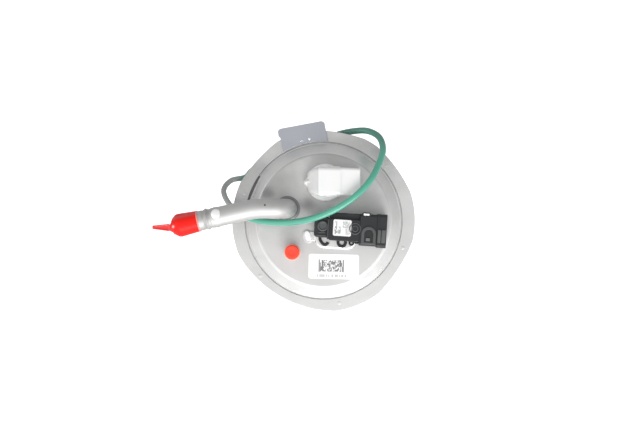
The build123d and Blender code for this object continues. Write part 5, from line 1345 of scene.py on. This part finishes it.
# ------------------------------------------------------------------ pieces that keep their own CAD shape
CADMAT = {
    "connector_terminals": "terminal", "connector_gasket": "rubber", "connector_retainer": "spring", "sensor_grommet": "rubber", "sensor_terminals": "terminal",
    "rod_retaining_clips": "spring", "vent_valve_spring": "spring", "pump_shell": "shell",
    "pump_inlet_plate": "phenolic", "pump_impeller_housing": "phenolic", "pump_end_cap": "acetal_black", "pump_terminals": "terminal", "pump_magnets": "magnet",
    "pump_brushes": "carbon", "pump_isolator": "rubber", "inlet_strainer": "fabric",
    "inlet_umbrella_valve": "rubber", "base_strainer": "fabric", "jet_pump": "acetal_black",
    "return_tube": "hose",
    "vent_valve_float": "acetal", "pump_armature": "copper", "pump_impeller": "phenolic", "check_valve_poppet": "brass", "regulator_valve": "brass",
    "wiper_contact": "brass",
}
for n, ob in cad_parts.items():
    if n in CADMAT:
        ob.data.materials.clear()
        ob.data.materials.append(M[CADMAT[n]])

# ------------------------------------------------------------------ floor, light, camera
me = bpy.data.meshes.new("floor")
me.from_pydata([(-4, -4, 0), (4, -4, 0), (4, 4, 0), (-4, 4, 0)], [], [(0, 1, 2, 3)])
floor = bpy.data.objects.new("floor", me)
bpy.context.scene.collection.objects.link(floor)
fm, fnt, fb = bsdf_mat("floor_pale")
fv = coords(fnt)
fn = noise(fnt, fv, 6.0, 2.0)
fnt.links.new(ramp(fnt, fn, [(0.3, (0.57, 0.57, 0.57)), (0.7, (0.60, 0.60, 0.60))]), fb.inputs["Base Color"])
fb.inputs["Roughness"].default_value = 0.9
fb.inputs["Specular IOR Level"].default_value = 0.2
fb.inputs["Emission Color"].default_value = (1, 1, 1, 1)
# the paper-white sweep: bright in the picture, but it throws only soft grey light back on the object
fnt.links.new(math2(fnt, "MULTIPLY", fnt.nodes.new("ShaderNodeLightPath").outputs["Is Camera Ray"], 0.82), fb.inputs["Emission Strength"])
me.materials.append(fm)

bpy.context.scene.view_settings.view_transform = "Standard"

world = bpy.data.worlds.new("world")
bpy.context.scene.world = world
world.use_nodes = True
wnt = world.node_tree
bg = wnt.nodes["Background"]
wtc = wnt.nodes.new("ShaderNodeTexCoord")
sep = wnt.nodes.new("ShaderNodeSeparateXYZ")
wnt.links.new(wtc.outputs["Generated"], sep.inputs[0])
dotp = wnt.nodes.new("ShaderNodeMath")
dotp.operation = "MULTIPLY_ADD"
dotp.inputs[1].default_value = -1.0
wnt.links.new(sep.outputs["Y"], dotp.inputs[0])
sx = wnt.nodes.new("ShaderNodeMath")
sx.operation = "MULTIPLY"
sx.inputs[1].default_value = 0.0
wnt.links.new(sep.outputs["X"], sx.inputs[0])
wnt.links.new(sx.outputs[0], dotp.inputs[2])
half = wnt.nodes.new("ShaderNodeMath")
half.operation = "MULTIPLY_ADD"
half.inputs[1].default_value = 0.5
half.inputs[2].default_value = 0.5
wnt.links.new(dotp.outputs[0], half.inputs[0])
wr = wnt.nodes.new("ShaderNodeValToRGB")
wr.color_ramp.interpolation = "EASE"
el = wr.color_ramp.elements
while len(el) < len(WORLD):
    el.new(0.5)
for e, (p, val) in zip(el, WORLD):
    e.position = (p + 1) / 2
    e.color = (val / 2, val / 2, val / 2, 1)
wnt.links.new(half.outputs[0], wr.inputs["Fac"])
dbl = wnt.nodes.new("ShaderNodeMath")
dbl.operation = "MULTIPLY"
dbl.inputs[1].default_value = 2.0
wnt.links.new(wr.outputs["Color"], dbl.inputs[0])
plain = wnt.nodes.new("ShaderNodeMix")
plain.data_type = "FLOAT"
wnt.links.new(wnt.nodes.new("ShaderNodeLightPath").outputs["Is Camera Ray"], plain.inputs["Factor"])
wnt.links.new(dbl.outputs[0], plain.inputs[2])
plain.inputs[3].default_value = 1.0
wnt.links.new(plain.outputs[0], bg.inputs["Strength"])
bg.inputs["Color"].default_value = (1, 1, 1, 1)


def area(name, loc, target, size, power, color=(1, 1, 1)):
    d = bpy.data.lights.new(name, "AREA")
    d.shape = "RECTANGLE"
    d.size, d.size_y = size
    d.energy = power
    d.color = color
    o = bpy.data.objects.new(name, d)
    o.location = loc
    o.rotation_euler = (V3(target) - V3(loc)).to_track_quat("-Z", "Y").to_euler()
    bpy.context.scene.collection.objects.link(o)
    return o


for L in LIGHTS:
    area(*L)

cam = bpy.data.cameras.new("cam")
cam.lens, cam.sensor_width = 75.0, 36.0
cam.clip_start, cam.clip_end = 0.01, 20
co = bpy.data.objects.new("cam", cam)
co.location = (-0.0029, 0.0058, TOP_Z * MM + 1.1)
co.rotation_euler = (0, 0, 0)
bpy.context.scene.collection.objects.link(co)
bpy.context.scene.camera = co
